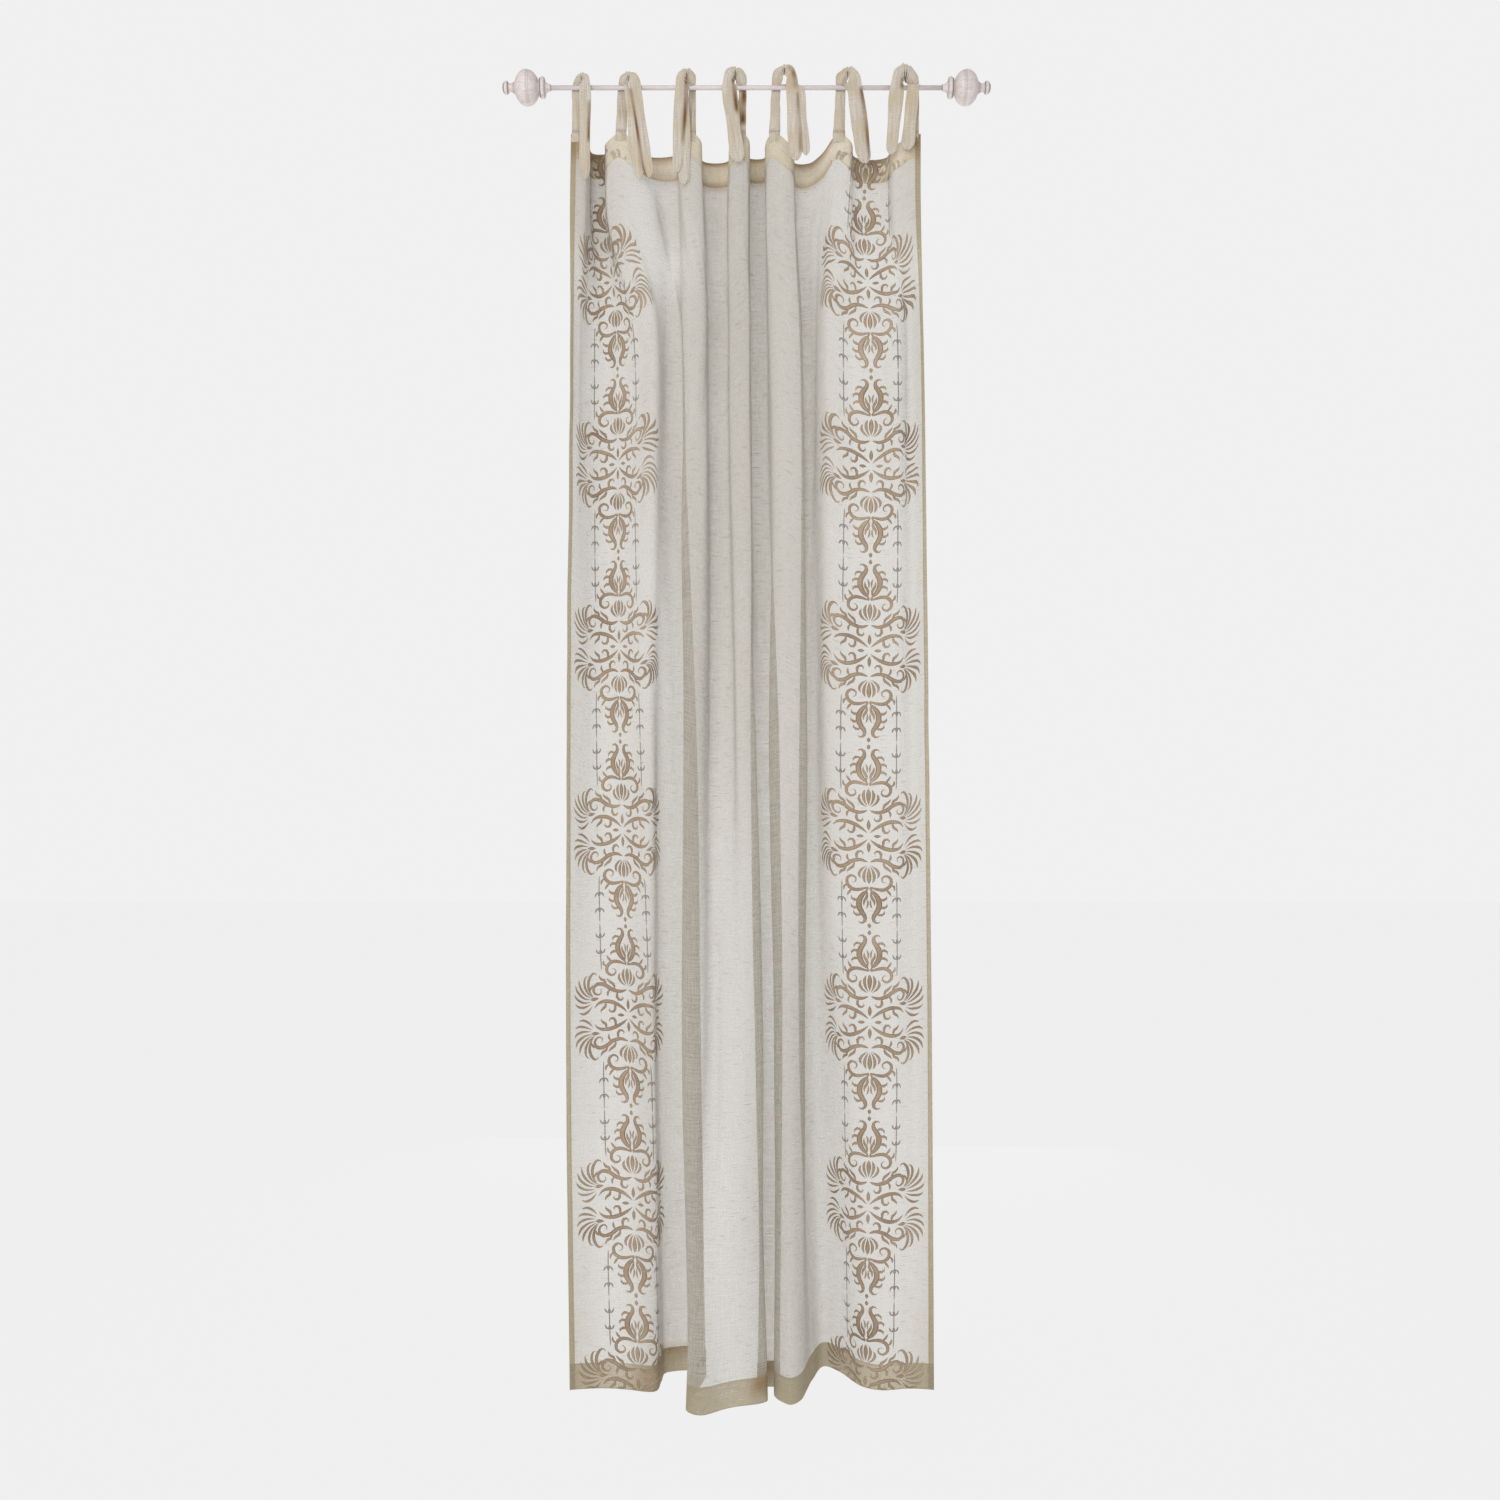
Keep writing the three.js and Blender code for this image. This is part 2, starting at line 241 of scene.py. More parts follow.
def voile():
    material, tree = new_material("slub_voile")
    place = add(tree, "UVMap", uv_map="flat")
    upright = slub_streaks(tree, place, SLUB_WIDE, SLUB_LONG, 2.5)
    level = slub_streaks(tree, place, SLUB_LONG, SLUB_WIDE, 2.5)
    yarns = summed(tree, 0, [(upright, 0.45), (level, 0.55)])
    short = slub_streaks(tree, place, 24, 2.6, 1.0)
    slubs = add(tree, "MapRange", {"Value": short, "From Min": 0.62, "From Max": 0.74})
    cloudy = slub_streaks(tree, place, 70, 120, 3.0)
    heading, hem_shade, stain_and_shadow, steep, close = (
        add(tree, "Attribute", out="Fac", attribute_name=name)
        for name in ("heading", "hem_shade", "stain_and_shadow", "steep", "close"))

    # How much of the cloth is yarn, and how much of that a slanting way closes
    # The hems close their gaps a little more than the plain cloth, which darkens them as painted shade.
    share = summed(tree, YARN_SHARE - 0.5 * UNEVEN_SHARE, [
        (yarns, UNEVEN_SHARE), (slubs, SLUB_SHARE), (hem_shade, HEM_SHARE), (stain_and_shadow, STAIN_SHARE)])
    for operation, limit in (("MINIMUM", MOST_SHARE), ("MAXIMUM", LEAST_SHARE)):
        share = add(tree, "Math", {0: share, 1: limit}, operation=operation)
    gaps = add(tree, "Math", {0: 1.0, 1: share}, operation="SUBTRACT")
    # Where folds stand close, the gaps close more: painted shade among the folds.
    slanted = summed(tree, 1.0, [(steep, STEEP_PULL), (close, FOLD_SHADE_PULL)])
    gaps = add(tree, "Math", {0: gaps, 1: slanted}, operation="POWER")
    closed = add(tree, "Math", {0: 1.0, 1: gaps}, operation="SUBTRACT", use_clamp=True)

    dapple = add(tree, "Math", {0: cloudy, 1: 0.8, 2: 0.45}, operation="MULTIPLY_ADD")
    patchy = add(tree, "Math", {0: stain_and_shadow, 1: dapple}, operation="MULTIPLY")
    plain = add(tree, "ValToRGB", {"Fac": yarns}, stops=[(0.34, "#c1bcb2"), (0.50, "#cfcbc2"), (0.66, "#d8d4cc")])
    # The heading is painted lighter, as painted light where the top is lit more, and the hems darker and warmer, as
    # painted shade.
    colour = coloured(tree, plain, [
        (slubs, 0.5, "#9d9686"), (cloudy, 0.25, "#d6cdb8"), (heading, 0.75, "#eee6d2"),
        (hem_shade, 0.8, "#d0c5a9"), (patchy, 1.0, "#ae8744")])
    yarn = yarn_surface(tree, colour, yarns, 0.42)
    cloth = add(tree, "MixShader", {0: closed, 1: add(tree, "BsdfTransparent"), 2: yarn})
    add(tree, "OutputMaterial", {"Surface": cloth})
    return material


VOILE = voile()
print("voile has", len(VOILE.node_tree.nodes), "nodes")

# %% [markdown]
# ## How the cloth hangs
# A curtain is a flat panel whose upright lines are still about as long when it hangs, so each place
# on it has two numbers: how far across from its left edge, and how far down from its heading. Seven
# level cuts through the folds, read from the photograph and worked out to the panel's width, say
# where those lines pass, and a smooth curve joins them from cut to cut. The solid of the frame has
# the same cuts; here they carry a finer net.

# %% Sizes of the cloth and its folds, in millimetres
FLAT_WIDTH = 1400
FLAT_DROP = 2703
NECK_HEIGHT = -97
HEADING_BAND = 54
FOOT_BAND = 55
SIDE_HEM = 11

TIES = [
    {"across": 15, "rise": -364, "width": 25, "crown": 25,
     "inner": {"rod": -350, "end": -348, "foot": -190, "wide": 18, "narrow": 17},
     "outer": {"rod": -346, "end": -345, "foot": -202, "wide": 20, "narrow": 18}},
    {"across": 243, "rise": -268, "width": 22, "crown": 26,
     "inner": {"rod": -250, "end": -229, "foot": -200, "wide": 26, "narrow": 18},
     "outer": {"rod": -240, "end": -209, "foot": -198, "wide": 24, "narrow": 24}},
    {"across": 472, "rise": -117, "width": 18, "crown": 31,
     "inner": {"rod": -136, "end": -134, "foot": -213, "wide": 25, "narrow": 24},
     "outer": {"rod": -139, "end": -149, "foot": -187, "wide": 26, "narrow": 18}},
    {"across": 700, "rise": -9, "width": 20, "crown": 33,
     "inner": {"rod": -34, "end": -21, "foot": -158, "wide": 26, "narrow": 22},
     "outer": {"rod": -38, "end": -18, "foot": -165, "wide": 28, "narrow": 26}},
    {"across": 928, "rise": 64, "width": 22, "crown": 34,
     "inner": {"rod": 106, "end": 128, "foot": -149, "wide": 26, "narrow": 20},
     "outer": {"rod": 98, "end": 106, "foot": -162, "wide": 26, "narrow": 25}},
    {"across": 1157, "rise": 203, "width": 24, "crown": 32,
     "inner": {"rod": 228, "end": 250, "foot": -158, "wide": 28, "narrow": 26},
     "outer": {"rod": 232, "end": 254, "foot": -168, "wide": 30, "narrow": 30}},
    {"across": 1385, "rise": 362, "width": 22, "crown": 34,
     "inner": {"rod": 358, "end": 345, "foot": -137, "wide": 26, "narrow": 25},
     "outer": {"rod": 323, "end": 310, "foot": -149, "wide": 26, "narrow": 23}},
]
SPAN_SAGS = [11, 25, 32, 17, 36, 35]
BELL_DROP = 24
BELL_REACH = 24

CUTS = [
    {"name": "heading", "down": 0, "folds": [
        (-378, 6), (-346, 4), (-338, 78), (-312, 82), (-300, 6), (-238, 5), (-226, 57), (-160, 59), (-136, 7),
        (-100, 6), (-93, 73), (-43, 73), (-34, 8), (2, 8), (7, 90), (37, 90), (46, 7), (98, 7), (108, 72),
        (138, 72), (186, 8), (224, 5), (236, 49), (304, 49), (318, 6), (375, 6)]},
    {"name": "shoulder", "down": 153, "folds": [
        (-380, 5), (-352, 4), (-336, 88), (-310, 90), (-292, 6), (-204, 7), (-176, 58), (-150, 61), (-136, 8),
        (-96, 5), (-86, 78), (-46, 78), (-37, 8), (1, 6), (6, 90), (39, 90), (47, 6), (102, 4), (111, 74),
        (130, 78), (192, 8), (220, 4), (240, 42), (306, 42), (322, 4), (375, 5)]},
    {"name": "breast", "down": 373, "folds": [
        (-380, 3), (-316, 93), (-206, 4), (-172, 66), (-147, 70), (-133, 1), (-93, -2), (-81, 82), (-43, 82),
        (-34, 4), (3, 2), (9, 92), (43, 92), (54, 4), (113, 2), (121, 80), (137, 84), (177, 8), (265, 23),
        (324, 3), (356, 35), (380, 3)]},
    {"name": "upper", "down": 763, "folds": [
        (-382, 0), (-311, 88), (-203, 2), (-172, 64), (-134, 78), (-136, -8), (-90, -12), (-77, 66), (-42, 66),
        (-30, 4), (8, -4), (12, 74), (47, 76), (62, -6), (121, -10), (123, 60), (140, 84), (176, 8), (267, 20),
        (326, 0), (360, 30), (386, 0)]},
    {"name": "middle", "down": 1323, "folds": [
        (-387, 0), (-315, 72), (-208, 8), (-188, 52), (-112, 80), (-133, -30), (-122, -46), (-99, -38),
        (-84, -4), (-77, 20), (-60, 26), (-30, 14), (-17, -20), (20, -16), (10, 38), (36, 64), (71, 60),
        (48, -6), (82, -26), (114, -18), (130, -6), (117, 54), (150, 84), (180, 16), (258, 8), (326, 2),
        (361, 26), (392, 0)]},
    {"name": "lower", "down": 1993, "folds": [
        (-388, 0), (-313, 42), (-263, 40), (-203, 4), (-188, 56), (-102, 76), (-135, -52), (-118, -72),
        (-96, -66), (-82, -42), (-68, -34), (-48, -48), (-14, -58), (35, -38), (19, 16), (46, 44), (76, 40),
        (59, -18), (86, -48), (112, -34), (125, -4), (117, 52), (155, 92), (193, 44), (229, 6), (263, 0),
        (328, 4), (365, 22), (399, 0)]},
    {"name": "foot", "down": 2703, "folds": [
        (-380, 0), (-316, 8), (-261, 2), (-196, -8), (-186, 40), (-178, 84), (-92, 84), (-127, -94),
        (-96, -116), (-34, -82), (43, -50), (24, 4), (52, 14), (70, 10), (59, -24), (92, -68), (115, -48),
        (143, 50), (173, 116), (207, 88), (250, 18), (287, 0), (348, 6), (403, 0)]},
]
print("folds in each cut:", [len(cut["folds"]) for cut in CUTS])

# %% Smooth curves through the tables
LINE_STEPS = 40


def smooth_line(points, steps=LINE_STEPS):
    """A centripetal Catmull-Rom line through the points, with that many steps from each to the next."""
    p = np.array(points, float)
    p = np.vstack([2 * p[0] - p[1], p, 2 * p[-1] - p[-2]])
    t = np.arange(steps)[:, None] / steps
    runs = []
    for before, start, end, after in zip(p[:-3], p[1:-2], p[2:-1], p[3:]):
        d0 = np.linalg.norm(start - before) ** 0.5
        d1 = np.linalg.norm(end - start) ** 0.5
        d2 = np.linalg.norm(after - end) ** 0.5
        leave = ((start - before) / d0 - (end - before) / (d0 + d1) + (end - start) / d1) * d1
        arrive = ((end - start) / d1 - (after - start) / (d1 + d2) + (after - end) / d2) * d1
        runs.append(start + leave * t + (3 * (end - start) - 2 * leave - arrive) * t**2
                    + (2 * (start - end) + leave + arrive) * t**3)
    return np.vstack([*runs, p[-2:-1]])


def through_knots(knots, values, at):
    """A smooth curve through values[knot, place], read for each place at its own point of the knots."""
    knots = np.array(knots, float)
    order = np.arange(len(knots))
    low, high = np.maximum(order - 1, 0), np.minimum(order + 1, len(knots) - 1)
    slopes = (values[high] - values[low]) / (knots[high] - knots[low])[:, None, None]
    i = np.clip(np.searchsorted(knots, at, side="right") - 1, 0, len(knots) - 2)
    step = (knots[i + 1] - knots[i])[:, None]
    t = (at - knots[i])[:, None] / step
    here = np.arange(len(at))
    return ((2 * t**3 - 3 * t**2 + 1) * values[i, here] + (t**3 - 2 * t**2 + t) * step * slopes[i, here]
            + (3 * t**2 - 2 * t**3) * values[i + 1, here] + (t**3 - t**2) * step * slopes[i + 1, here])


def lengths_along(line):
    return np.concatenate([[0], np.cumsum(np.linalg.norm(np.diff(line, axis=0), axis=1))])


CUT_DOWNS = [cut["down"] for cut in CUTS]
CUT_LINES = [smooth_line(cut["folds"]) for cut in CUTS]
CUT_LENGTHS = [lengths_along(line) for line in CUT_LINES]
print("length of each cut, mm:", [round(lengths[-1]) for lengths in CUT_LENGTHS])

# %% Where a place on the flat panel hangs
NORMAL_REACH = 3


def heading_height(across):
    """The height of the heading's edge: highest at a tie, bell-shaped beside it, and sagging between two."""
    height = np.full(len(across), float(NECK_HEIGHT))
    for sag, start, end in zip(SPAN_SAGS, TIES[:-1], TIES[1:]):
        share = (across - start["across"]) / (end["across"] - start["across"])
        between = (share >= 0) & (share < 1)
        nearest = np.minimum(across - start["across"], end["across"] - across)[between]
        height[between] -= BELL_DROP * (1 - np.exp(-(nearest / BELL_REACH) ** 2))
        height[between] -= (sag - BELL_DROP) * np.sin(np.pi * share[between]) ** 2
    return height


def hang(across, down):
    """The middle of the cloth, as [x, depth, height] in millimetres, at places on the flat panel."""
    across = np.clip(across, 0, FLAT_WIDTH)
    down = np.clip(down, 0, FLAT_DROP)
    marks = []
    for line, lengths in zip(CUT_LINES, CUT_LENGTHS):
        at = across / FLAT_WIDTH * lengths[-1]
        marks.append(np.stack([np.interp(at, lengths, line[:, k]) for k in (0, 1)], axis=-1))
    x, depth = through_knots(CUT_DOWNS, np.array(marks), down).T
    top = heading_height(across)
    height = top + (NECK_HEIGHT - FLAT_DROP - top) * down / FLAT_DROP
    return np.stack([x, depth, height], axis=-1)


def unit(vectors):
    return vectors / np.maximum(np.linalg.norm(vectors, axis=-1, keepdims=True), 1e-9)


def wrong_side(across, down):
    """The direction that the back of the cloth faces."""
    rightward = hang(across + NORMAL_REACH, down) - hang(across - NORMAL_REACH, down)
    upward = hang(across, down - NORMAL_REACH) - hang(across, down + NORMAL_REACH)
    return -unit(np.cross(rightward, upward))


middle = hang(np.array([FLAT_WIDTH / 2]), np.array([FLAT_DROP / 2]))[0]
print("the middle of the panel hangs at", np.round(middle), "mm")

# %% [markdown]
# ## Creases and ripples
# Thin cloth also has soft creases that run from the ties, along the folds and over the hem. Each is
# a trough or a ridge placed on the flat cloth, and a slow ripple lies under all of them.

# %% Creases: where each starts and ends on the flat cloth, its bow, half width and rise
CREASES = [
    ((30, 10), (24, 900), 4, 7, 2.6), ((66, 30), (104, 640), 6, 10, 3.2), ((228, 0), (200, 520), -6, 9, 3.2),
    ((262, 0), (286, 420), 6, 10, -2.0), ((330, 60), (352, 700), 6, 12, 2.2),
    ((462, 0), (436, 300), -5, 7, -2.6), ((482, 0), (478, 620), 4, 6, 2.6),
    ((585, 40), (572, 1100), -4, 8, 2.4), ((690, 0), (684, 520), -3, 5, -2.4),
    ((706, 0), (708, 700), 3, 5, 2.6), ((812, 50), (806, 1200), 5, 7, 2.4), ((920, 0), (934, 620), -3, 6, 2.6),
    ((944, 0), (962, 900), 4, 6, -2.4), ((1078, 40), (1044, 190), 6, 5, 3.6),
    ((1120, 20), (1092, 760), -8, 10, -3.4), ((1150, 0), (1164, 900), 4, 7, 3.0),
    ((1172, 0), (1222, 760), 8, 9, -3.2), ((1300, 30), (1312, 1000), 5, 7, 2.8),
    ((1366, 10), (1346, 900), -5, 8, -2.8), ((300, 900), (292, 1900), 5, 9, 2.6),
    ((1096, 900), (1112, 2100), -6, 9, 2.8), ((1330, 1300), (1318, 2400), 5, 9, -2.6),
    ((640, 1500), (652, 2600), 5, 8, 2.4), ((588, 1700), (604, 2620), -4, 7, -2.4),
]
RIPPLES = [(85, 520, 2.6), (30, 240, 0.9)]
SIDE_RIPPLE = {"half": 30, "long": 150, "rise": 2.0}

# Stains of age: from and to across the flat cloth, middle down, half height and strength
STAINS = [
    (70, 160, 2, 16, 0.7), (300, 440, 0, 10, 0.75), (545, 650, 0, 8, 0.8), (770, 870, 0, 8, 0.75),
    (985, 1140, 0, 10, 0.8), (1200, 1330, 0, 8, 0.6), (300, 440, 50, 12, 0.35), (545, 660, 52, 9, 0.5),
    (770, 870, 52, 9, 0.5), (985, 1130, 52, 10, 0.45), (1205, 1320, 44, 12, 0.35), (0, 26, 24, 30, 0.5),
    (1384, 1400, 10, 34, 0.6), (215, 400, 2652, 12, 0.4), (700, 800, 2662, 20, 0.55),
    (150, 200, 2690, 60, 0.25),
]
STAIN_FADE = 14


def stain_marks(across, down):
    """How strongly each place of the cloth is stained, from 0 to 1."""
    marks = np.zeros(len(across))
    for start, end, middle, half, strength in STAINS:
        aside = np.maximum(np.maximum(start - across, across - end), 0) / STAIN_FADE
        marks = np.maximum(marks, strength * np.exp(-aside**2 - ((down - middle) / half) ** 2))
    return marks


def crease_relief(across, down):
    """How far the creases lift the cloth towards the room, in millimetres."""
    relief = np.zeros(len(across))
    for start, end, bow, half, rise in CREASES:
        start, end = np.array(start, float), np.array(end, float)
        run = np.linalg.norm(end - start)
        along_way = (end - start) / run
        from_start = np.stack([across, down], axis=-1) - start
        share = np.clip(from_start @ along_way / run, 0, 1)
        aside = from_start @ np.array([along_way[1], -along_way[0]]) - bow * 4 * share * (1 - share)
        relief += rise * np.exp(-(aside / half) ** 2) * np.sin(np.pi * share) ** 0.7
    return relief


def ripple_relief(across, down):
    """A slow unevenness, stronger along the two free side edges."""
    relief = np.zeros(len(across))
    for wide, long, rise in RIPPLES:
        relief += [rise * noise.noise((a / wide, d / long, rise)) for a, d in zip(across, down)]
    edge = np.minimum(across, FLAT_WIDTH - across)
    lean = np.array([noise.noise((a / FLAT_WIDTH, d / SIDE_RIPPLE["long"], 5.0)) for a, d in zip(across, down)])
    return relief + SIDE_RIPPLE["rise"] * lean * np.exp(-(edge / SIDE_RIPPLE["half"]) ** 2)


print("creases:", len(CREASES))

# %% [markdown]
# ## The panel
# The cut cloth is wider and longer than the finished one, because its edges are turned in. The net
# is made for the cut cloth, and what lies past the finished edge is turned back behind it. That
# gives real hems: two layers, which a sheer cloth shows. The columns stand closer where the folds
# bend more. A Solidify modifier gives the net the thickness of a thin cloth and closes it.

# %% Columns and rows of the net
TURN_ROUND = 1.4
LAYER_GAP = 1.1
CLOTH_THICK = 0.5
NET_COLUMNS = 232
NET_ROWS = 146
HEM_EDGE = 0.8
LEAST_FRONT = 0.2
FOLD_SHADE_REACH = 120


def edge_steps(band):
    """Places over one turned edge, from the inner side of the hem out to the fold."""
    return np.array([0, 1.4, 0.18 * band, 0.4 * band, 0.7 * band, band])[::-1]


def bend_spaced(start, end, count):
    """Columns from start to end that stand closer where the cuts bend more."""
    at = np.linspace(start, end, 1500)
    bend = np.zeros(len(at))
    for line, lengths in zip(CUT_LINES, CUT_LENGTHS):
        place = np.stack([np.interp(at / FLAT_WIDTH * lengths[-1], lengths, line[:, k]) for k in (0, 1)], axis=-1)
        turning = np.linalg.norm(np.diff(unit(np.diff(place, axis=0)), axis=0), axis=1)
        bend[1:-1] += np.minimum(turning / (at[1] - at[0]), 0.15) / len(CUT_LINES)
    bend = np.convolve(bend, np.ones(15) / 15, mode="same")
    weight = np.concatenate([[0], np.cumsum(0.012 + bend[1:])])
    return np.interp(np.linspace(0, weight[-1], count), weight, at)


def net_places(size, band_start, band_end, inner):
    """Every place of the net along one direction, the turned edges included."""
    head, tail = edge_steps(band_start), edge_steps(band_end)
    inner = np.concatenate([inner[:1], [inner[0] + HEM_EDGE], inner[1:-1], [inner[-1] - HEM_EDGE], inner[-1:]])
    return np.concatenate([-head[:-1], head[::-1][:-1], inner, size - tail[1:], size + tail[::-1][1:]])


COLUMNS = net_places(FLAT_WIDTH, SIDE_HEM, SIDE_HEM, bend_spaced(SIDE_HEM, FLAT_WIDTH - SIDE_HEM, NET_COLUMNS))
ROWS = net_places(FLAT_DROP, HEADING_BAND, FOOT_BAND, np.linspace(HEADING_BAND, FLAT_DROP - FOOT_BAND, NET_ROWS))
print("net:", len(COLUMNS), "columns,", len(ROWS), "rows")

# %% The net, hung
def turned_in(place, size):
    """A place on the cut cloth as its place on the finished one, and how far it is turned behind."""
    past = np.maximum(np.maximum(-place, place - size), 0)
    inside = np.where(place < 0, -place, np.where(place > size, 2 * size - place, place))
    return inside, np.minimum(past / TURN_ROUND, 1)


def fold_shade(steep):
    """How closely the folds stand around each place, for painted shade among close folds: the mean steepness over a
    hand's breadth.
    """
    places = np.arange(0, FLAT_WIDTH + 1, 4.0)
    inside = turned_in(COLUMNS, FLAT_WIDTH)[0]
    order = np.argsort(COLUMNS)
    window = np.hanning(FOLD_SHADE_REACH // 4 * 2 + 3)[1:-1]
    window /= window.sum()
    rows = [np.convolve(np.pad(np.interp(places, COLUMNS[order], row[order]), len(window) // 2, mode="edge"),
                        window, mode="valid") for row in steep]
    return np.array([np.interp(inside, places, row) for row in rows])


def hang_net():
    """The net's places, the directions in which its right side faces, and its marks by name."""
    down, across = (grid.ravel() for grid in np.meshgrid(ROWS, COLUMNS, indexing="ij"))
    across, side_turn = turned_in(across, FLAT_WIDTH)
    down, end_turn = turned_in(down, FLAT_DROP)
    relief = crease_relief(across, down) + ripple_relief(across, down)
    behind = LAYER_GAP * (side_turn + end_turn) - relief
    places = hang(across, down) + behind[:, None] * wrong_side(across, down)
    size = (len(ROWS), len(COLUMNS))
    places = places.reshape(*size, 3)
    facing = unit(np.cross(np.gradient(places, axis=0), np.gradient(places, axis=1)))
    steep = 1 / np.maximum(np.abs(facing[..., 1]), LEAST_FRONT) - 1
    marks = {
        # The heading mark is painted lighter as painted light, and the hem mark darker as painted shade.
        "heading": (down <= HEADING_BAND).astype(float).reshape(size),
        "hem_shade": ((np.minimum(across, FLAT_WIDTH - across) <= SIDE_HEM) | (down >= FLAT_DROP - FOOT_BAND)
                ).astype(float).reshape(size),
        "steep": steep,
        # Painted shade among close folds, from the mean steepness round each place.
        "close": fold_shade(steep),
        "stain_and_shadow": stain_marks(across, down).reshape(size),
    }
    return places, facing, marks


NET, NET_FACING, NET_MARKS = hang_net()
print("net reaches", np.round(NET.reshape(-1, 3).min(0)), np.round(NET.reshape(-1, 3).max(0)), "mm")

# %% A piece from a mesh, placed on the root body
def new_piece(name, bm, material, replaced=(), smooth=True):
    """Links a finished bmesh, already in metres, as a piece of the object."""
    mesh = mesh_from(name, bm)
    mesh.materials.append(material)
    mesh.shade_smooth() if smooth else mesh.shade_flat()
    piece = bpy.data.objects.new(name, mesh)
    scene.collection.objects.link(piece)
    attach(piece, "root")
    if replaced:
        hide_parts(*replaced)
    return piece


def triangles(piece):
    """How many triangles a piece has once its modifiers are applied."""
    shown = piece.evaluated_get(bpy.context.evaluated_depsgraph_get()).to_mesh()
    return sum(len(face.vertices) - 2 for face in shown.polygons)


# %% Build the panel
def build_curtain():
    bm = bmesh.new()
    last_column, last_row = len(COLUMNS) - 1, len(ROWS) - 1
    bmesh.ops.create_grid(bm, x_segments=last_column, y_segments=last_row, size=1)
    flat = bm.loops.layers.uv.new("flat")
    layers = {name: bm.verts.layers.float.new(name) for name in NET_MARKS}
    for vert in bm.verts:
        i = round((vert.co.x + 1) / 2 * last_column)
        j = round((1 - vert.co.y) / 2 * last_row)
        vert.co = NET[j, i] * MM
        for name, layer in layers.items():
            vert[layer] = NET_MARKS[name][j, i]
        for loop in vert.link_loops:
            loop[flat].uv = (COLUMNS[i] * MM, -ROWS[j] * MM)
    curtain = new_piece("curtain", bm, VOILE, ["curtain_panel"])
    wall = curtain.modifiers.new("cloth_thickness", "SOLIDIFY")
    wall.thickness = CLOTH_THICK * MM
    wall.offset = 0
    return curtain


CURTAIN = build_curtain()
print("curtain:", triangles(CURTAIN), "triangles")

# %% Anything that lies on the cloth
def on_cloth(across, down, lift):
    """Places in metres on the hung net, lift millimetres out of the right side of the cloth."""
    i = np.clip(np.searchsorted(COLUMNS, across) - 1, 0, len(COLUMNS) - 2)
    j = np.clip(np.searchsorted(ROWS, down) - 1, 0, len(ROWS) - 2)
    u = ((across - COLUMNS[i]) / (COLUMNS[i + 1] - COLUMNS[i]))[:, None]
    v = ((down - ROWS[j]) / (ROWS[j + 1] - ROWS[j]))[:, None]

    def between(grid):
        above = grid[j, i] * (1 - u) + grid[j, i + 1] * u
        below = grid[j + 1, i] * (1 - u) + grid[j + 1, i + 1] * u
        return above * (1 - v) + below * v

    return (between(NET) + np.asarray(lift)[:, None] * unit(between(NET_FACING))) * MM


def lay_on_cloth(piece):
    """Moves a mesh that is drawn flat, as (across, down, lift) in millimetres, on to the cloth."""
    flat = np.empty(len(piece.data.vertices) * 3, np.float32)
    piece.data.vertices.foreach_get("co", flat)
    across, down, lift = flat.reshape(-1, 3).astype(float).T
    piece.data.vertices.foreach_set("co", on_cloth(across, down, lift).astype(np.float32).ravel())
    piece.data.update()


# %% [markdown]
# ## Embroidery
# Both sides carry a band of satin stitch in taupe thread: scrolls and leaves that mirror about the
# band's middle and repeat down the cloth, between two fine lines with small sprigs. Satin stitch is
# many threads side by side across a shape, so a shape stands a little proud of the cloth, rounded,
# and shows the fine lines of its threads. Each stroke is modelled that way, as a flat-oval tube
# along a curve, thin at its ends. One quarter of the repeat is drawn on the flat cloth and
# mirrored, and the whole band is then laid on the folds. The last repeat runs over the foot and up
# behind it, as the hem does.

# %% Thread material
THREAD_PITCH = 1.3


def satin_thread():
    material, tree = new_material("satin_stitch_thread")
    along, edge, grey = (add(tree, "Attribute", out="Fac", attribute_name=name) for name in ("along", "edge", "grey"))
    turn = add(tree, "Math", {0: along, 1: 2 * math.pi / THREAD_PITCH}, operation="MULTIPLY")
    threads = add(tree, "Math", {0: turn}, operation="SINE")
    place = add(tree, "TexCoord", out="Object")
    tone = add(tree, "TexNoise", {"Vector": place, "Scale": 14.0, "Detail": 3.0})
    fleck = add(tree, "TexNoise", {"Vector": place, "Scale": 380.0, "Detail": 1.0})
    # Painted shade: each stroke goes darker towards its edges, where the rounded satin turns away from the light.
    rounded = add(tree, "Math", {0: edge, 1: 4.0}, operation="POWER")
    shade = summed(tree, 0, [(tone, 0.5), (fleck, 0.35), (threads, 0.05), (rounded, -0.34)])
    brown = add(tree, "ValToRGB", {"Fac": shade}, stops=[
        (0.05, "#6d5843"), (0.28, "#917a60"), (0.46, "#ad967b"), (0.62, "#c3b198")])
    cool = add(tree, "ValToRGB", {"Fac": shade}, stops=[(0.10, "#6d655c"), (0.60, "#a59d92")])
    colour = add(tree, "Mix", {"Factor": grey, 6: brown, 7: cool}, out=2, data_type="RGBA")
    bump = add(tree, "Bump", {"Height": threads, "Strength": 0.35, "Distance": 0.0004})
    surface = add(tree, "BsdfPrincipled", {
        "Base Color": colour, "Roughness": 0.62, "Sheen Weight": 0.15, "Normal": bump})
    add(tree, "OutputMaterial", {"Surface": surface})
    return material


THREAD = satin_thread()
print("thread has", len(THREAD.node_tree.nodes), "nodes")

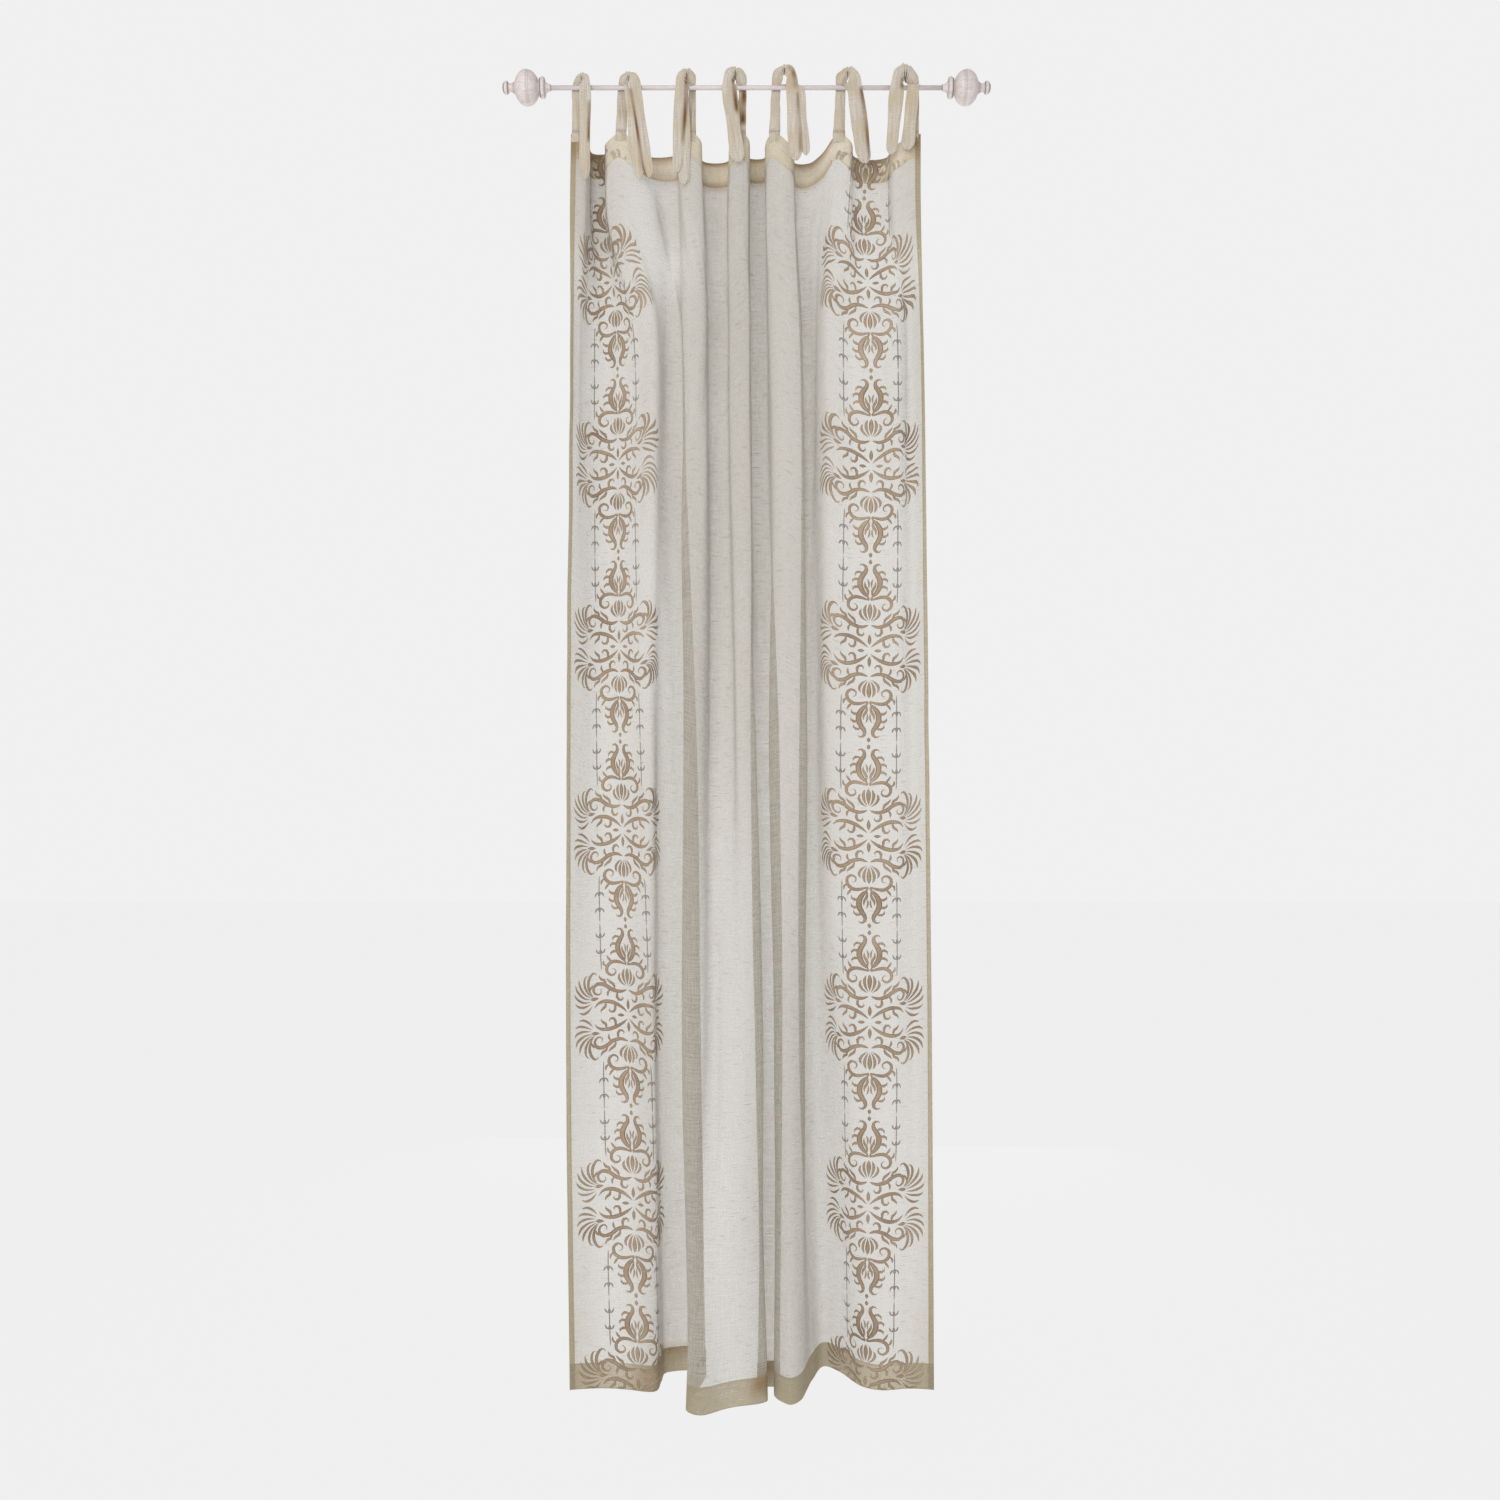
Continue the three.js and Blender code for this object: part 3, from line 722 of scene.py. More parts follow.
# %% The strokes of a quarter repeat
# Each stroke is its kind, its width, where along it that is reached, and its path as (out from the
# band's middle, down from the bud), in millimetres. A middle stroke lies on the band's middle and a
# level one on the line about which the repeat mirrors, so they aren't mirrored there again. The fine
# side line and its sprigs are worked in a greyer thread.
HALF_REPEAT = 202.5
STROKES = [
    # The drop between two repeats
    ("middle", 8, 0.55, [(0, 2), (0, 13)]),
    # The pair of leaves over the knot, with their lobes
    ("pair", 12, 0.4, [(2, 86), (12, 77), (20, 64), (21, 49), (15, 36), (9, 27), (10, 17), (18, 13), (24, 18)]),
    ("pair", 5.5, 0.45, [(15, 35), (23, 30), (31, 33), (33, 41)]),
    ("pair", 6, 0.45, [(20, 50), (29, 46), (37, 49), (38, 56)]),
    ("pair", 6, 0.45, [(18, 66), (28, 63), (36, 66), (38, 73)]),
    ("pair", 6, 0.5, [(4, 84), (5, 70), (11, 60), (11, 50)]),
    ("pair", 4, 0.5, [(3, 66), (3, 52), (7, 44)]),
    # The knot and the volutes that spring from it
    ("pair", 9, 0.08, [(0, 89), (11, 89)]),
    ("pair", 7.5, 0.35, [(3, 92), (16, 87), (33, 86), (45, 95), (46, 109), (36, 116), (27, 110), (30, 101),
        (37, 103)]),
    ("pair", 5, 0.5, [(34, 87), (41, 81), (47, 71)]),
    ("pair", 5, 0.5, [(46, 97), (53, 91), (54, 82)]),
    # The palmette under the knot
    ("middle", 10, 0.6, [(0, 136), (0, 98)]),
    ("pair", 6.5, 0.6, [(2, 138), (9, 125), (11, 111), (7, 100)]),
    ("pair", 6, 0.6, [(4, 139), (16, 130), (21, 119), (17, 110)]),
    # The great scroll, its leaves and the tendril inside it
    ("pair", 8.5, 0.35, [(2, 146), (18, 151), (36, 147), (52, 136), (68, 133), (77, 142), (73, 154),
        (63, 156), (59, 148), (65, 144)]),
    ("pair", 6, 0.45, [(30, 147), (33, 136), (42, 129), (48, 121)]),
    ("pair", 6, 0.5, [(48, 138), (52, 127), (61, 122), (64, 113)]),
    ("pair", 6, 0.35, [(24, 151), (26, 163), (20, 170), (12, 167), (14, 160)]),
    ("pair", 5, 0.5, [(40, 146), (46, 154), (45, 163)]),
    # The arch over the mirror line and the drops under it
    ("pair", 8.5, 0.5, [(2, 196), (14, 186), (30, 177), (48, 172), (66, 175), (77, 186)]),
    ("middle", 8, 0.45, [(0, 190), (0, 166)]),
    ("pair", 6, 0.35, [(32, 178), (30, 188), (36, 196), (44, 192), (41, 186)]),
    ("pair", 6, 0.45, [(50, 173), (52, 184), (60, 190), (62, 197)]),
    ("level", 7, 0.5, [(10, 202.5), (26, 202.5)]),
    # The side spray: two curled leaves, then five that fan out
    ("pair", 6.5, 0.55, [(76, 162), (86, 148), (89, 130), (83, 114), (74, 108), (68, 115)]),
    ("pair", 5.5, 0.55, [(78, 162), (93, 147), (99, 129), (95, 115), (88, 114)]),
    ("pair", 5.5, 0.6, [(80, 163), (98, 153), (110, 137), (113, 121)]),
    ("pair", 5.5, 0.6, [(81, 166), (101, 161), (117, 148), (122, 134)]),
    ("pair", 5.2, 0.6, [(82, 170), (103, 171), (120, 163), (125, 154)]),
    ("pair", 5.2, 0.6, [(81, 174), (99, 181), (115, 181), (123, 175)]),
    ("pair", 5.5, 0.6, [(79, 178), (90, 190), (103, 196), (114, 193)]),
    ("pair", 8, 0.6, [(64, 164), (74, 165), (84, 166)]),
    ("pair", 4.5, 0.5, [(86, 148), (82, 139), (76, 133)]),
    # The fine line and its sprigs
    ("line", 2.2, 0.5, [(59, 0), (59, 36), (59, 74), (58, 104)]),
    ("sprig", 3.6, 0.5, [(59, 33), (66, 29), (69, 21)]),
    ("sprig", 3.6, 0.5, [(59, 33), (52, 29), (49, 21)]),
    ("sprig", 6, 0.5, [(59, 34), (59, 22)]),
    ("sprig", 3.6, 0.5, [(59, 68), (66, 64), (69, 56)]),
    ("sprig", 3.6, 0.5, [(59, 68), (52, 64), (49, 56)]),
    ("sprig", 6, 0.5, [(59, 69), (59, 57)]),
]
print("strokes in a quarter:", len(STROKES))

# %% One stroke as a flat-oval tube
STROKE_STEP = 6
RING_SIDES = 6
LEAST_CROWN = 0.45
CROWN_SHARE = 0.07
STROKE_MARKS = ("along", "edge", "grey")
GREY_KINDS = ("line", "sprig")


def stroke_width(kind, wide, full, share):
    """The width along a stroke: even for a line, and else thin at its ends and widest at its full place."""
    if kind == "line":
        return wide * np.minimum(1, 12 * np.minimum(share, 1 - share)) ** 0.5
    bent = share ** (math.log(0.5) / math.log(full))
    return wide * np.sin(np.pi * bent) ** 0.75


def add_stroke(bm, stroke):
    """Rolls a grid round the stroke's curve, in (out, down, lift) millimetres."""
    kind, wide, full, path = stroke
    line = smooth_line(path, 12)
    lengths = lengths_along(line)
    steps = max(4, round(lengths[-1] / STROKE_STEP))
    made = bmesh.ops.create_grid(bm, x_segments=steps, y_segments=RING_SIDES, size=1)
    share = np.linspace(0, 1, steps + 1)
    centre = np.stack([np.interp(share * lengths[-1], lengths, line[:, k]) for k in (0, 1)], axis=-1)
    way = unit(np.gradient(centre, axis=0))
    width = stroke_width(kind, wide, full, share)
    crown = (LEAST_CROWN + CROWN_SHARE * width) * np.minimum(1, width / 0.8)
    along, edge, grey = (bm.verts.layers.float[name] for name in STROKE_MARKS)
    for vert in made["verts"]:
        i = round((vert.co.x + 1) / 2 * steps)
        turn = (vert.co.y + 1) * math.pi
        aside = math.cos(turn) * width[i] / 2
        vert[along] = share[i] * lengths[-1]
        vert[edge] = abs(math.cos(turn))
        vert[grey] = float(kind in GREY_KINDS)
        vert.co = (centre[i][0] + way[i][1] * aside, centre[i][1] - way[i][0] * aside, crown[i] * math.sin(turn))


def stroke_mesh(name, kinds):
    """The strokes of those kinds as one flat mesh, each tube closed along its seam and at its ends."""
    bm = bmesh.new()
    for mark in STROKE_MARKS:
        bm.verts.layers.float.new(mark)
    for stroke in [stroke for stroke in STROKES if stroke[0] in kinds]:
        start = len(bm.verts)
        add_stroke(bm, stroke)
        bm.verts.ensure_lookup_table()
        bmesh.ops.remove_doubles(bm, verts=bm.verts[start:], dist=0.02)
    bmesh.ops.recalc_face_normals(bm, faces=bm.faces)
    return mesh_from(name, bm)


QUARTER = stroke_mesh("quarter", ["pair", *GREY_KINDS])
ON_MIDDLE = stroke_mesh("on_middle", ["middle"])
ON_LEVEL = stroke_mesh("on_level", ["level"])
print("faces:", len(QUARTER.polygons), len(ON_MIDDLE.polygons), len(ON_LEVEL.polygons))

# %% The bands
BAND_MIDDLE = 145
FIRST_BUD = 80
REPEATS = 7
CUT_MARGIN = 2


def add_copy(bm, mesh, out, down, place):
    """Adds the mesh to the band, turned outwards and downwards by signs, from that bud."""
    start_vert, start_face = len(bm.verts), len(bm.faces)
    bm.from_mesh(mesh)
    bm.verts.ensure_lookup_table()
    bm.faces.ensure_lookup_table()
    turn = Matrix.Translation((place[0], place[1], 0)) @ Matrix.Diagonal((out, down, 1, 1))
    bmesh.ops.transform(bm, matrix=turn, verts=bm.verts[start_vert:])
    if out * down < 0:
        bmesh.ops.reverse_faces(bm, faces=bm.faces[start_face:])


def trim(bm, down, keep_above):
    """Cuts the flat band off along a level line and closes the cut strokes."""
    every = [*bm.verts, *bm.edges, *bm.faces]
    bmesh.ops.bisect_plane(
        bm, geom=every, plane_co=(0, down, 0), plane_no=(0, 1, 0), clear_outer=keep_above, clear_inner=not keep_above)
    bmesh.ops.holes_fill(bm, edges=[edge for edge in bm.edges if edge.is_boundary])


def build_band(name, middle):
    bm = bmesh.new()
    for repeat in range(REPEATS):
        for down in (-1, 1):
            place = (middle, FIRST_BUD + 2 * HALF_REPEAT * repeat)
            add_copy(bm, ON_MIDDLE, 1, down, place)
            for out in (-1, 1):
                add_copy(bm, QUARTER, out, down, place)
                if down > 0:
                    add_copy(bm, ON_LEVEL, out, down, place)
    trim(bm, CUT_MARGIN - HEADING_BAND, keep_above=False)
    trim(bm, FLAT_DROP + FOOT_BAND - CUT_MARGIN, keep_above=True)
    band = new_piece(name, bm, THREAD)
    lay_on_cloth(band)
    return band


EMBROIDERY = [
    build_band("embroidery_left", BAND_MIDDLE),
    build_band("embroidery_right", FLAT_WIDTH - BAND_MIDDLE),
]
print("embroidery:", [triangles(band) for band in EMBROIDERY], "triangles")

# %% [markdown]
# ## Stitch lines
# A row of lock stitches holds each hem along its inner edge. The stitches are about 3 mm long and go
# through both layers, so each is one small rounded grain that shows on both sides. An Array modifier
# repeats one grain along the flat cloth, and the row is then laid on the folds.

# %% Sewing thread and rows of stitches
STITCH_PITCH = 3.6
STITCH_SIZE = (0.45, 1.35, 1.25)
STITCH_LIFT = -0.5
SEAM_INSET = 1.6


def sewing_thread():
    material, tree = new_material("spun_sewing_thread")
    place = add(tree, "TexCoord", out="Object")
    tone = add(tree, "TexNoise", {"Vector": place, "Scale": 240.0, "Detail": 2.0})
    colour = add(tree, "ValToRGB", {"Fac": tone}, stops=[(0.3, "#96855f"), (0.7, "#b8a981")])
    add(tree, "OutputMaterial", {
        "Surface": add(tree, "BsdfPrincipled", {"Base Color": colour, "Roughness": 0.7})})
    return material


def stitch_row(start, end):
    """A bmesh of one row of stitches on the flat cloth, from start to end."""
    start, end = Vector((*start, STITCH_LIFT)), Vector((*end, STITCH_LIFT))
    run = end - start
    bm = bmesh.new()
    bmesh.ops.create_icosphere(bm, subdivisions=1, radius=1)
    turn = Vector((0, 1, 0)).rotation_difference(run).to_matrix().to_4x4()
    grain = Matrix.Translation(start) @ turn @ Matrix.Diagonal((*STITCH_SIZE, 1))
    bmesh.ops.transform(bm, matrix=grain, verts=bm.verts)
    one = bpy.data.objects.new("stitch", mesh_from("stitch", bm))
    scene.collection.objects.link(one)
    array = one.modifiers.new("row", "ARRAY")
    array.use_relative_offset = False
    array.use_constant_offset = True
    array.count = int(run.length / STITCH_PITCH)
    array.constant_offset_displace = run.normalized() * STITCH_PITCH
    whole = bpy.data.meshes.new_from_object(one.evaluated_get(bpy.context.evaluated_depsgraph_get()))
    bpy.data.objects.remove(one)
    return whole


def build_stitches():
    left, right = SIDE_HEM - SEAM_INSET, FLAT_WIDTH - SIDE_HEM + SEAM_INSET
    top, foot = HEADING_BAND - SEAM_INSET, FLAT_DROP - FOOT_BAND + SEAM_INSET
    bm = bmesh.new()
    for start, end in [
        ((left, 4), (left, FLAT_DROP - 4)),
        ((right, 4), (right, FLAT_DROP - 4)),
        ((4, top), (FLAT_WIDTH - 4, top)),
        ((4, foot), (FLAT_WIDTH - 4, foot)),
    ]:
        bm.from_mesh(stitch_row(start, end))
    stitches = new_piece("hem_stitches", bm, sewing_thread())
    lay_on_cloth(stitches)
    return stitches


STITCHES = build_stitches()
print("stitches:", triangles(STITCHES), "triangles")

# %% [markdown]
# ## The ties
# Each tie is one doubled tape of the cloth, folded in half, its middle sewn behind the heading. Both
# halves rise behind the rod and hang free in front. The inner one bends close over the rod. The outer
# one stands over it as an arch, its inner edge gathered tight into small creases, whose dark is
# painted shade. A tape of four layers is nearly opaque and soft, so it is a thin closed strip that
# bulges towards the room, with rounded free ends. Brown lines along some edges are partly stains of
# age and partly painted shadow where the tapes lap.

# %% Tape material
def tape_cloth():
    material, tree = new_material("doubled_voile_tape")
    place = add(tree, "UVMap", uv_map="flat")
    upright = slub_streaks(tree, place, 2.2, SLUB_LONG, 2.0)
    level = slub_streaks(tree, place, 12, 2.2, 2.0)
    yarns = summed(tree, 0, [(upright, 0.6), (level, 0.4)])
    stain_and_shadow, crease = (add(tree, "Attribute", out="Fac", attribute_name=name) for name in ("stain_and_shadow", "crease"))
    cloudy = add(tree, "TexNoise", {"Vector": add(tree, "TexCoord", out="Object"), "Scale": 16.0, "Detail": 2.0})
    warmth = add(tree, "MapRange", {"Value": cloudy, "From Min": 0.42, "From Max": 0.72, "To Max": 0.55})
    plain = add(tree, "ValToRGB", {"Fac": yarns}, stops=[(0.3, "#bcb2a2"), (0.5, "#d8d0c3"), (0.7, "#e6e0d6")])
    # Over the tape's own colour go a random warm tone, brown lines that are partly stains of age and partly painted
    # shadow where the tapes lap, and near-black painted shade in the gathers.
    colour = coloured(tree, plain, [
        (warmth, 1.0, "#cdbd98"), (stain_and_shadow, 1.0, "#7d4f1c"), (crease, 1.0, "#33261a")])
    add(tree, "OutputMaterial", {"Surface": yarn_surface(tree, colour, yarns, 0.2)})
    return material


TAPE = tape_cloth()
print("tape has", len(TAPE.node_tree.nodes), "nodes")

# %% The route of a tape
ROD_RADIUS = 5
ROD_HALF = 436
TAPE_THICK = 1.1
TAPE_LAP = 1.35
TIE_GAP = 0.6
FRAME_TAPE = 1.6
TAIL_GAP = 2.5
TAIL_LEAN = 1
SEWN_BEHIND = 18
TAPE_COLUMNS = 12
TAPE_ROWS = 12
SLIT_HALF = 1.0
TAPE_FULLNESS = 1.08

# The arch of each outer tape: the heights of its outer edge and of its gathered inner edge
ARCHES = [(32, 12), (34, 13), (42, 15), (46, 16), (50, 28), (45, 19), (51, 11)]

# Brown lines, partly stains of age and partly painted shadow where the tapes lap: the tie, the tape,
# its stretch, the place across it from -1 to 1 with 1 on the arch's outer side, the two heights it
# runs between, its half width in shares of the tape, and its strength
TAPE_STAINS_AND_SHADOWS = [
    (0, "outer", "tail", 0.7, -30, -125, 0.28, 0.9), (0, "outer", "tail", -0.4, 30, 8, 0.5, 0.35),
    (1, "outer", "tail", -0.72, -5, -205, 0.26, 1.0), (1, "inner", "rise", 0.1, 0, -80, 0.8, 0.25),
    (2, "outer", "tail", -0.72, 40, -130, 0.3, 1.0), (2, "inner", "rise", -0.2, 0, -95, 0.8, 0.45),
    (3, "outer", "tail", -0.72, 40, -64, 0.3, 1.0), (3, "inner", "rise", -0.3, 4, -84, 0.7, 1.0),
    (4, "outer", "tail", 0.5, 40, -10, 0.4, 0.75), (4, "outer", "tail", 0.75, -10, -150, 0.24, 0.6),
    (5, "outer", "tail", 0.75, 0, -165, 0.24, 0.9), (6, "outer", "tail", -0.7, 44, -14, 0.3, 0.8),
    (6, "inner", "rise", 0.5, -70, -97, 0.6, 0.7),
]
SEAM_PLACE = (-93, 3, 0.35)


def arch_stations(tie, tail, arch, behind, front):
    """Stations of a tape as [x, depth, height, half across, half up], the last two to its outer edge."""
    top, slit = arch
    middle = (tie["rise"] + tail["rod"]) / 2
    side = math.copysign(1, tail["rod"] - tie["rise"])
    apart = abs(tail["rod"] - tie["rise"]) / 2
    wide = (tie["width"] + tail["wide"]) / 4
    outer_half, inner_half = apart + wide, max(apart - wide, SLIT_HALF)
    low = 0.3 * slit
    rows = []
    for turn in (0.2, 0.38, 0.5, 0.62, 0.8):
        angle = math.pi * turn
        across, up = -math.cos(angle), math.sin(angle)
        outer = (middle + side * across * outer_half, low + up**0.8 * (top - low))
        inner = (middle + side * across * inner_half, low + up * (slit - low))
        depth = behind * math.cos(angle) if turn < 0.5 else front * math.cos(angle)
        rows.append(((outer[0] + inner[0]) / 2, depth, (outer[1] + inner[1]) / 2,
                     (outer[0] - inner[0]) / 2, (outer[1] - inner[1]) / 2))
    return rows, side


def close_stations(tie, tail, close):
    """The same for a tape that bends close round the rod."""
    root = math.sqrt(0.5)
    side = math.copysign(1, tail["rod"] - tie["rise"])
    half = side * tail["wide"] / 2
    over = [tie["rise"] + (tail["rod"] - tie["rise"]) * share for share in (0.25, 0.5, 0.75)]
    rows = [(over[0], close * root, close * root, half, 0), (over[1], 0, close, half, 0),
            (over[2], -close * root, close * root, half, 0)]
    return rows, side


def tape_stations(tie, neck, tail, sewn, behind, front, arch):
    """All stations, up behind the rod, over it and down in front."""
    over, side = arch_stations(tie, tail, arch, behind, front) if arch else close_stations(tie, tail, behind)
    rise_half, tail_half = tie["width"] / 2, side * TAPE_FULLNESS * tail["wide"] / 2
    rise_half *= -side if arch else side
    half_hang = (tail["rod"] + tail["end"]) / 2
    rows = [
        (neck[0], neck[1] + sewn + 1, NECK_HEIGHT - SEWN_BEHIND, rise_half * 1.1, 0),
        (neck[0], neck[1] + sewn, NECK_HEIGHT, rise_half * 1.05, 0),
        ((neck[0] + tie["rise"]) / 2, behind, NECK_HEIGHT / 2, rise_half * 0.95, 0),
        (tie["rise"], behind, 0, rise_half * 0.85, 0),
        *over,
        (tail["rod"], -front, 0, tail_half, 0),
        (half_hang, -front - TAIL_LEAN / 2, tail["foot"] / 2, tail_half, 0),
        (tail["end"], -front - TAIL_LEAN, tail["foot"], tail_half * tail["narrow"] / tail["wide"], 0),
    ]
    return np.array(rows, float)


def tape_grid(tie_index, kind, stations):
    """The middle surface of a tape: places, brown lines of stain and painted shadow, painted shade in its gathers,
    and its length.
    """
    # Each tape gets its own waves, from a seed and not from chance
    seed = tie_index + (3 if kind == "outer" else 0)
    route = smooth_line(stations, TAPE_ROWS)
    lengths = lengths_along(route[:, :3])
    share = np.linspace(-1, 1, TAPE_COLUMNS + 1)[None, :]
    step = np.linspace(0, 1, len(route))[:, None]
    left = (1 - step) * lengths[-1] / 9
    ending = np.sqrt(np.clip(1 - np.clip(1 - left, 0, 1) ** 2, 0.05, 1))
    wave = 0.07 * np.sin(21 * step + seed) + 0.05 * np.sin(47 * step + 2 * seed)
    half = route[:, None, 3:5] * ((ending + wave)[..., None])
    height, depth = route[:, 2:3], route[:, 1:2]
    before = np.arange(len(route))[:, None] < np.argmax(route[:, 2])
    over_rod = np.clip((np.abs(height) - 8) / 12, 0, 1)
    rising = np.where(before, over_rod, 1.0 if kind == "outer" else np.clip((5 - height) / 4, 0.2, 1))
    top = np.exp(-((step - step[np.argmax(route[:, 2])]) / 0.07) ** 2) * (1.0 if kind == "outer" else 0.2)
    bulge = rising * (2.4 * (1 - share**2) + 0.8 * np.cos(2.5 * share + 11 * step + seed))
    gathers = top * (1 - share) / 2 * 1.6 * np.sin(150 * step + 3 * share + seed)
    folds = 0.9 * rising * np.sin(5.5 * share + 13 * step + 2 * seed)
    places = np.repeat(route[:, None, :3], TAPE_COLUMNS + 1, axis=1)
    places[..., 0] += share * half[..., 0]
    places[..., 2] += share * half[..., 1] + 0.8 * top * np.sin(90 * step + 2 * share + seed) * (1 + share)
    places[..., 1] -= bulge + gathers + folds
    stain_and_shadow = np.zeros(places.shape[:2])
    # Brown lines, partly stains of age and partly painted shadow where the tapes lap.
    for tie_number, tape, stretch, across, high, low, wide, strength in TAPE_STAINS_AND_SHADOWS:
        if tie_number == tie_index and tape == kind:
            on_stretch = before if stretch == "rise" else ~before
            inside = np.clip((high - height) / 8, 0, 1) * np.clip((height - low) / 12, 0, 1) * on_stretch
            uneven = 0.75 + 0.25 * np.sin(60 * step + seed)
            stain_and_shadow = np.maximum(stain_and_shadow, strength * inside * uneven * np.exp(-((share - across) / wide) ** 2))
    place, tall, strength = SEAM_PLACE
    stain_and_shadow = np.maximum(stain_and_shadow, strength * before * np.exp(-((height - place) / tall) ** 2))
    # Painted shade in the gathers near the top of the arch, on the gathered inner edge.
    gather_shade = np.clip(0.5 - share, 0, 1) * top * np.clip(np.sin(105 * step + 2.5 * share + seed) - 0.2, 0, 1)
    return places, stain_and_shadow, np.clip(3.4 * gather_shade, 0, 0.95), lengths


def add_tape(bm, tie_index, kind, stations):
    places, stain_and_shadow, crease, lengths = tape_grid(tie_index, kind, stations)
    rows = len(places) - 1
    made = bmesh.ops.create_grid(bm, x_segments=TAPE_COLUMNS, y_segments=rows, size=1)
    flat = bm.loops.layers.uv["flat"]
    marks = [(bm.verts.layers.float["stain_and_shadow"], stain_and_shadow), (bm.verts.layers.float["crease"], crease)]
    for vert in made["verts"]:
        i = round((vert.co.x + 1) / 2 * TAPE_COLUMNS)
        j = round((1 - vert.co.y) / 2 * rows)
        vert.co = places[j, i] * MM
        for layer, values in marks:
            vert[layer] = values[j, i]
        for loop in vert.link_loops:
            loop[flat].uv = (i / TAPE_COLUMNS * 0.025, lengths[j] * MM)
    return lengths[-1]


# %% Build the ties
def build_tie(index, tie):
    neck = hang(np.array([tie["across"]]), np.array([0]))[0]
    close = ROD_RADIUS + TIE_GAP + FRAME_TAPE / 2
    bm = bmesh.new()
    bm.loops.layers.uv.new("flat")
    bm.verts.layers.float.new("stain_and_shadow")
    bm.verts.layers.float.new("crease")
    inner = tape_stations(tie, neck, tie["inner"], 1.6, close, close, None)
    outer = tape_stations(
        tie, neck, tie["outer"], 1.6 + TAPE_LAP, close + TAPE_LAP, close + TAPE_LAP + TAIL_GAP, ARCHES[index])
    length = add_tape(bm, index, "inner", inner) + add_tape(bm, index, "outer", outer)
    piece = new_piece(f"tie_tape_{index + 1}", bm, TAPE, [f"tie_{index + 1}"])
    wall = piece.modifiers.new("tape_thickness", "SOLIDIFY")
    wall.thickness = TAPE_THICK * MM
    wall.offset = 0
    rounded = piece.modifiers.new("soft_edges", "SUBSURF")
    rounded.levels = rounded.render_levels = 1
    return piece, length


for number, tie in enumerate(TIES):
    piece, length = build_tie(number, tie)
    print(piece.name, round(length), "mm of tape,", triangles(piece), "triangles")

# %% [markdown]
# ## The rod
# The rod is a thin steel tube with satin off-white paint. It is drawn straight and plain: a cylinder
# with a fine brush-free paint film, whose slight orange peel and dust break up the highlight.

# %% Painted rod
ROD_TENON = 18
ROD_SIDES = 40
FIT_GAP = 0.4


def satin_paint():
    material, tree = new_material("satin_enamel_paint")
    place = add(tree, "TexCoord", out="Object")
    drawn = add(tree, "Mapping", {"Vector": place, "Scale": (60, 420, 420)})
    mottle = add(tree, "TexNoise", {"Vector": drawn, "Scale": 1.0, "Detail": 3.0})
    colour = add(tree, "ValToRGB", {"Fac": mottle}, stops=[(0.3, "#c9bdbb"), (0.7, "#d8cfcd")])
    peel = add(tree, "TexNoise", {"Vector": place, "Scale": 900.0, "Detail": 1.0})
    bump = add(tree, "Bump", {"Height": peel, "Strength": 0.1, "Distance": 0.0003})
    surface = add(tree, "BsdfPrincipled", {
        "Base Color": colour, "Roughness": 0.45, "IOR": 1.5, "Normal": bump})
    add(tree, "OutputMaterial", {"Surface": surface})
    return material


def build_rod():
    bm = bmesh.new()
    length = 2 * (ROD_HALF - FIT_GAP + ROD_TENON) * MM
    bmesh.ops.create_cone(
        bm, cap_ends=True, segments=ROD_SIDES, radius1=ROD_RADIUS * MM, radius2=ROD_RADIUS * MM, depth=length,
        matrix=Matrix.Rotation(math.pi / 2, 4, "Y"))
    return new_piece("rod_tube", bm, satin_paint(), ["rod"])


ROD = build_rod()
print("rod:", triangles(ROD), "triangles")

# %% [markdown]
# ## The finials
# Each finial is turned from wood: a little bell and a flat collar, a ball with two fine grooves, a
# neck and an end button. It is limed, so white paint fills the grain, and it is drawn darker in the
# grooves, at the steps and along the rims. The profile is turned round the rod's axis with a spin,
# and the dark lines are an attribute that comes from the profile's own table.

# %% Limed wood material and the turned profile
LATHE_STEPS = 72
BALL_MIDDLE = 36
BALL_HALF_LENGTH = 27
BALL_RADIUS = 37
WAIST_RADIUS = 12
GROOVES = [29.5, 33.5]
GROOVE_DEEP = 1.1
GROOVE_HALF = 1.1

# Each row is out from the collar's inner face, radius, and how dark the ring is drawn there
BELL_AND_COLLAR = [
    (-15, 7, 0.1), (-12, 7.2, 0.0), (-9, 8.5, 0.0), (-6, 10.8, 0.0), (-4, 12.6, 0.1), (-3, 14, 0.5), (-2.6, 19, 0.2),
    (-2, 20.6, 0.1), (-0.5, 22, 0.0), (2, 22.6, 0.0), (4.4, 22.4, 0.1), (5.4, 21.6, 0.8), (6.2, 19.6, 1.0),
    (7.4, 19.4, 0.7), (8.6, 20.2, 0.3)]
NECK_AND_BUTTON = [
    (63.5, 12.2, 0.5), (65, 10.8, 0.3), (67.5, 9.4, 0.1), (70, 8.8, 0.0), (73, 9.0, 0.1), (75.6, 10.2, 0.4),
    (76.6, 11.6, 1.0), (77.4, 13.2, 0.5), (79, 13.9, 0.0), (82.6, 13.6, 0.0), (84.6, 12.2, 0.6), (85.6, 10.4, 0.9),
    (87.4, 8.6, 0.2), (88.6, 5.2, 0.0), (89, 0, 0.0)]
BALL_STEPS = 44


def ball_rows():
    """The ball's arc with its two fine grooves."""
    rows = []
    for step in range(1, BALL_STEPS):
        turn = math.pi * step / BALL_STEPS
        out = BALL_MIDDLE - BALL_HALF_LENGTH * math.cos(turn)
        groove = sum(math.exp(-((out - place) / GROOVE_HALF) ** 2) for place in GROOVES)
        radius = BALL_RADIUS * math.sin(turn) - GROOVE_DEEP * groove
        if radius > WAIST_RADIUS:
            rows.append((out, radius, min(0.45 * groove, 1)))
    return rows


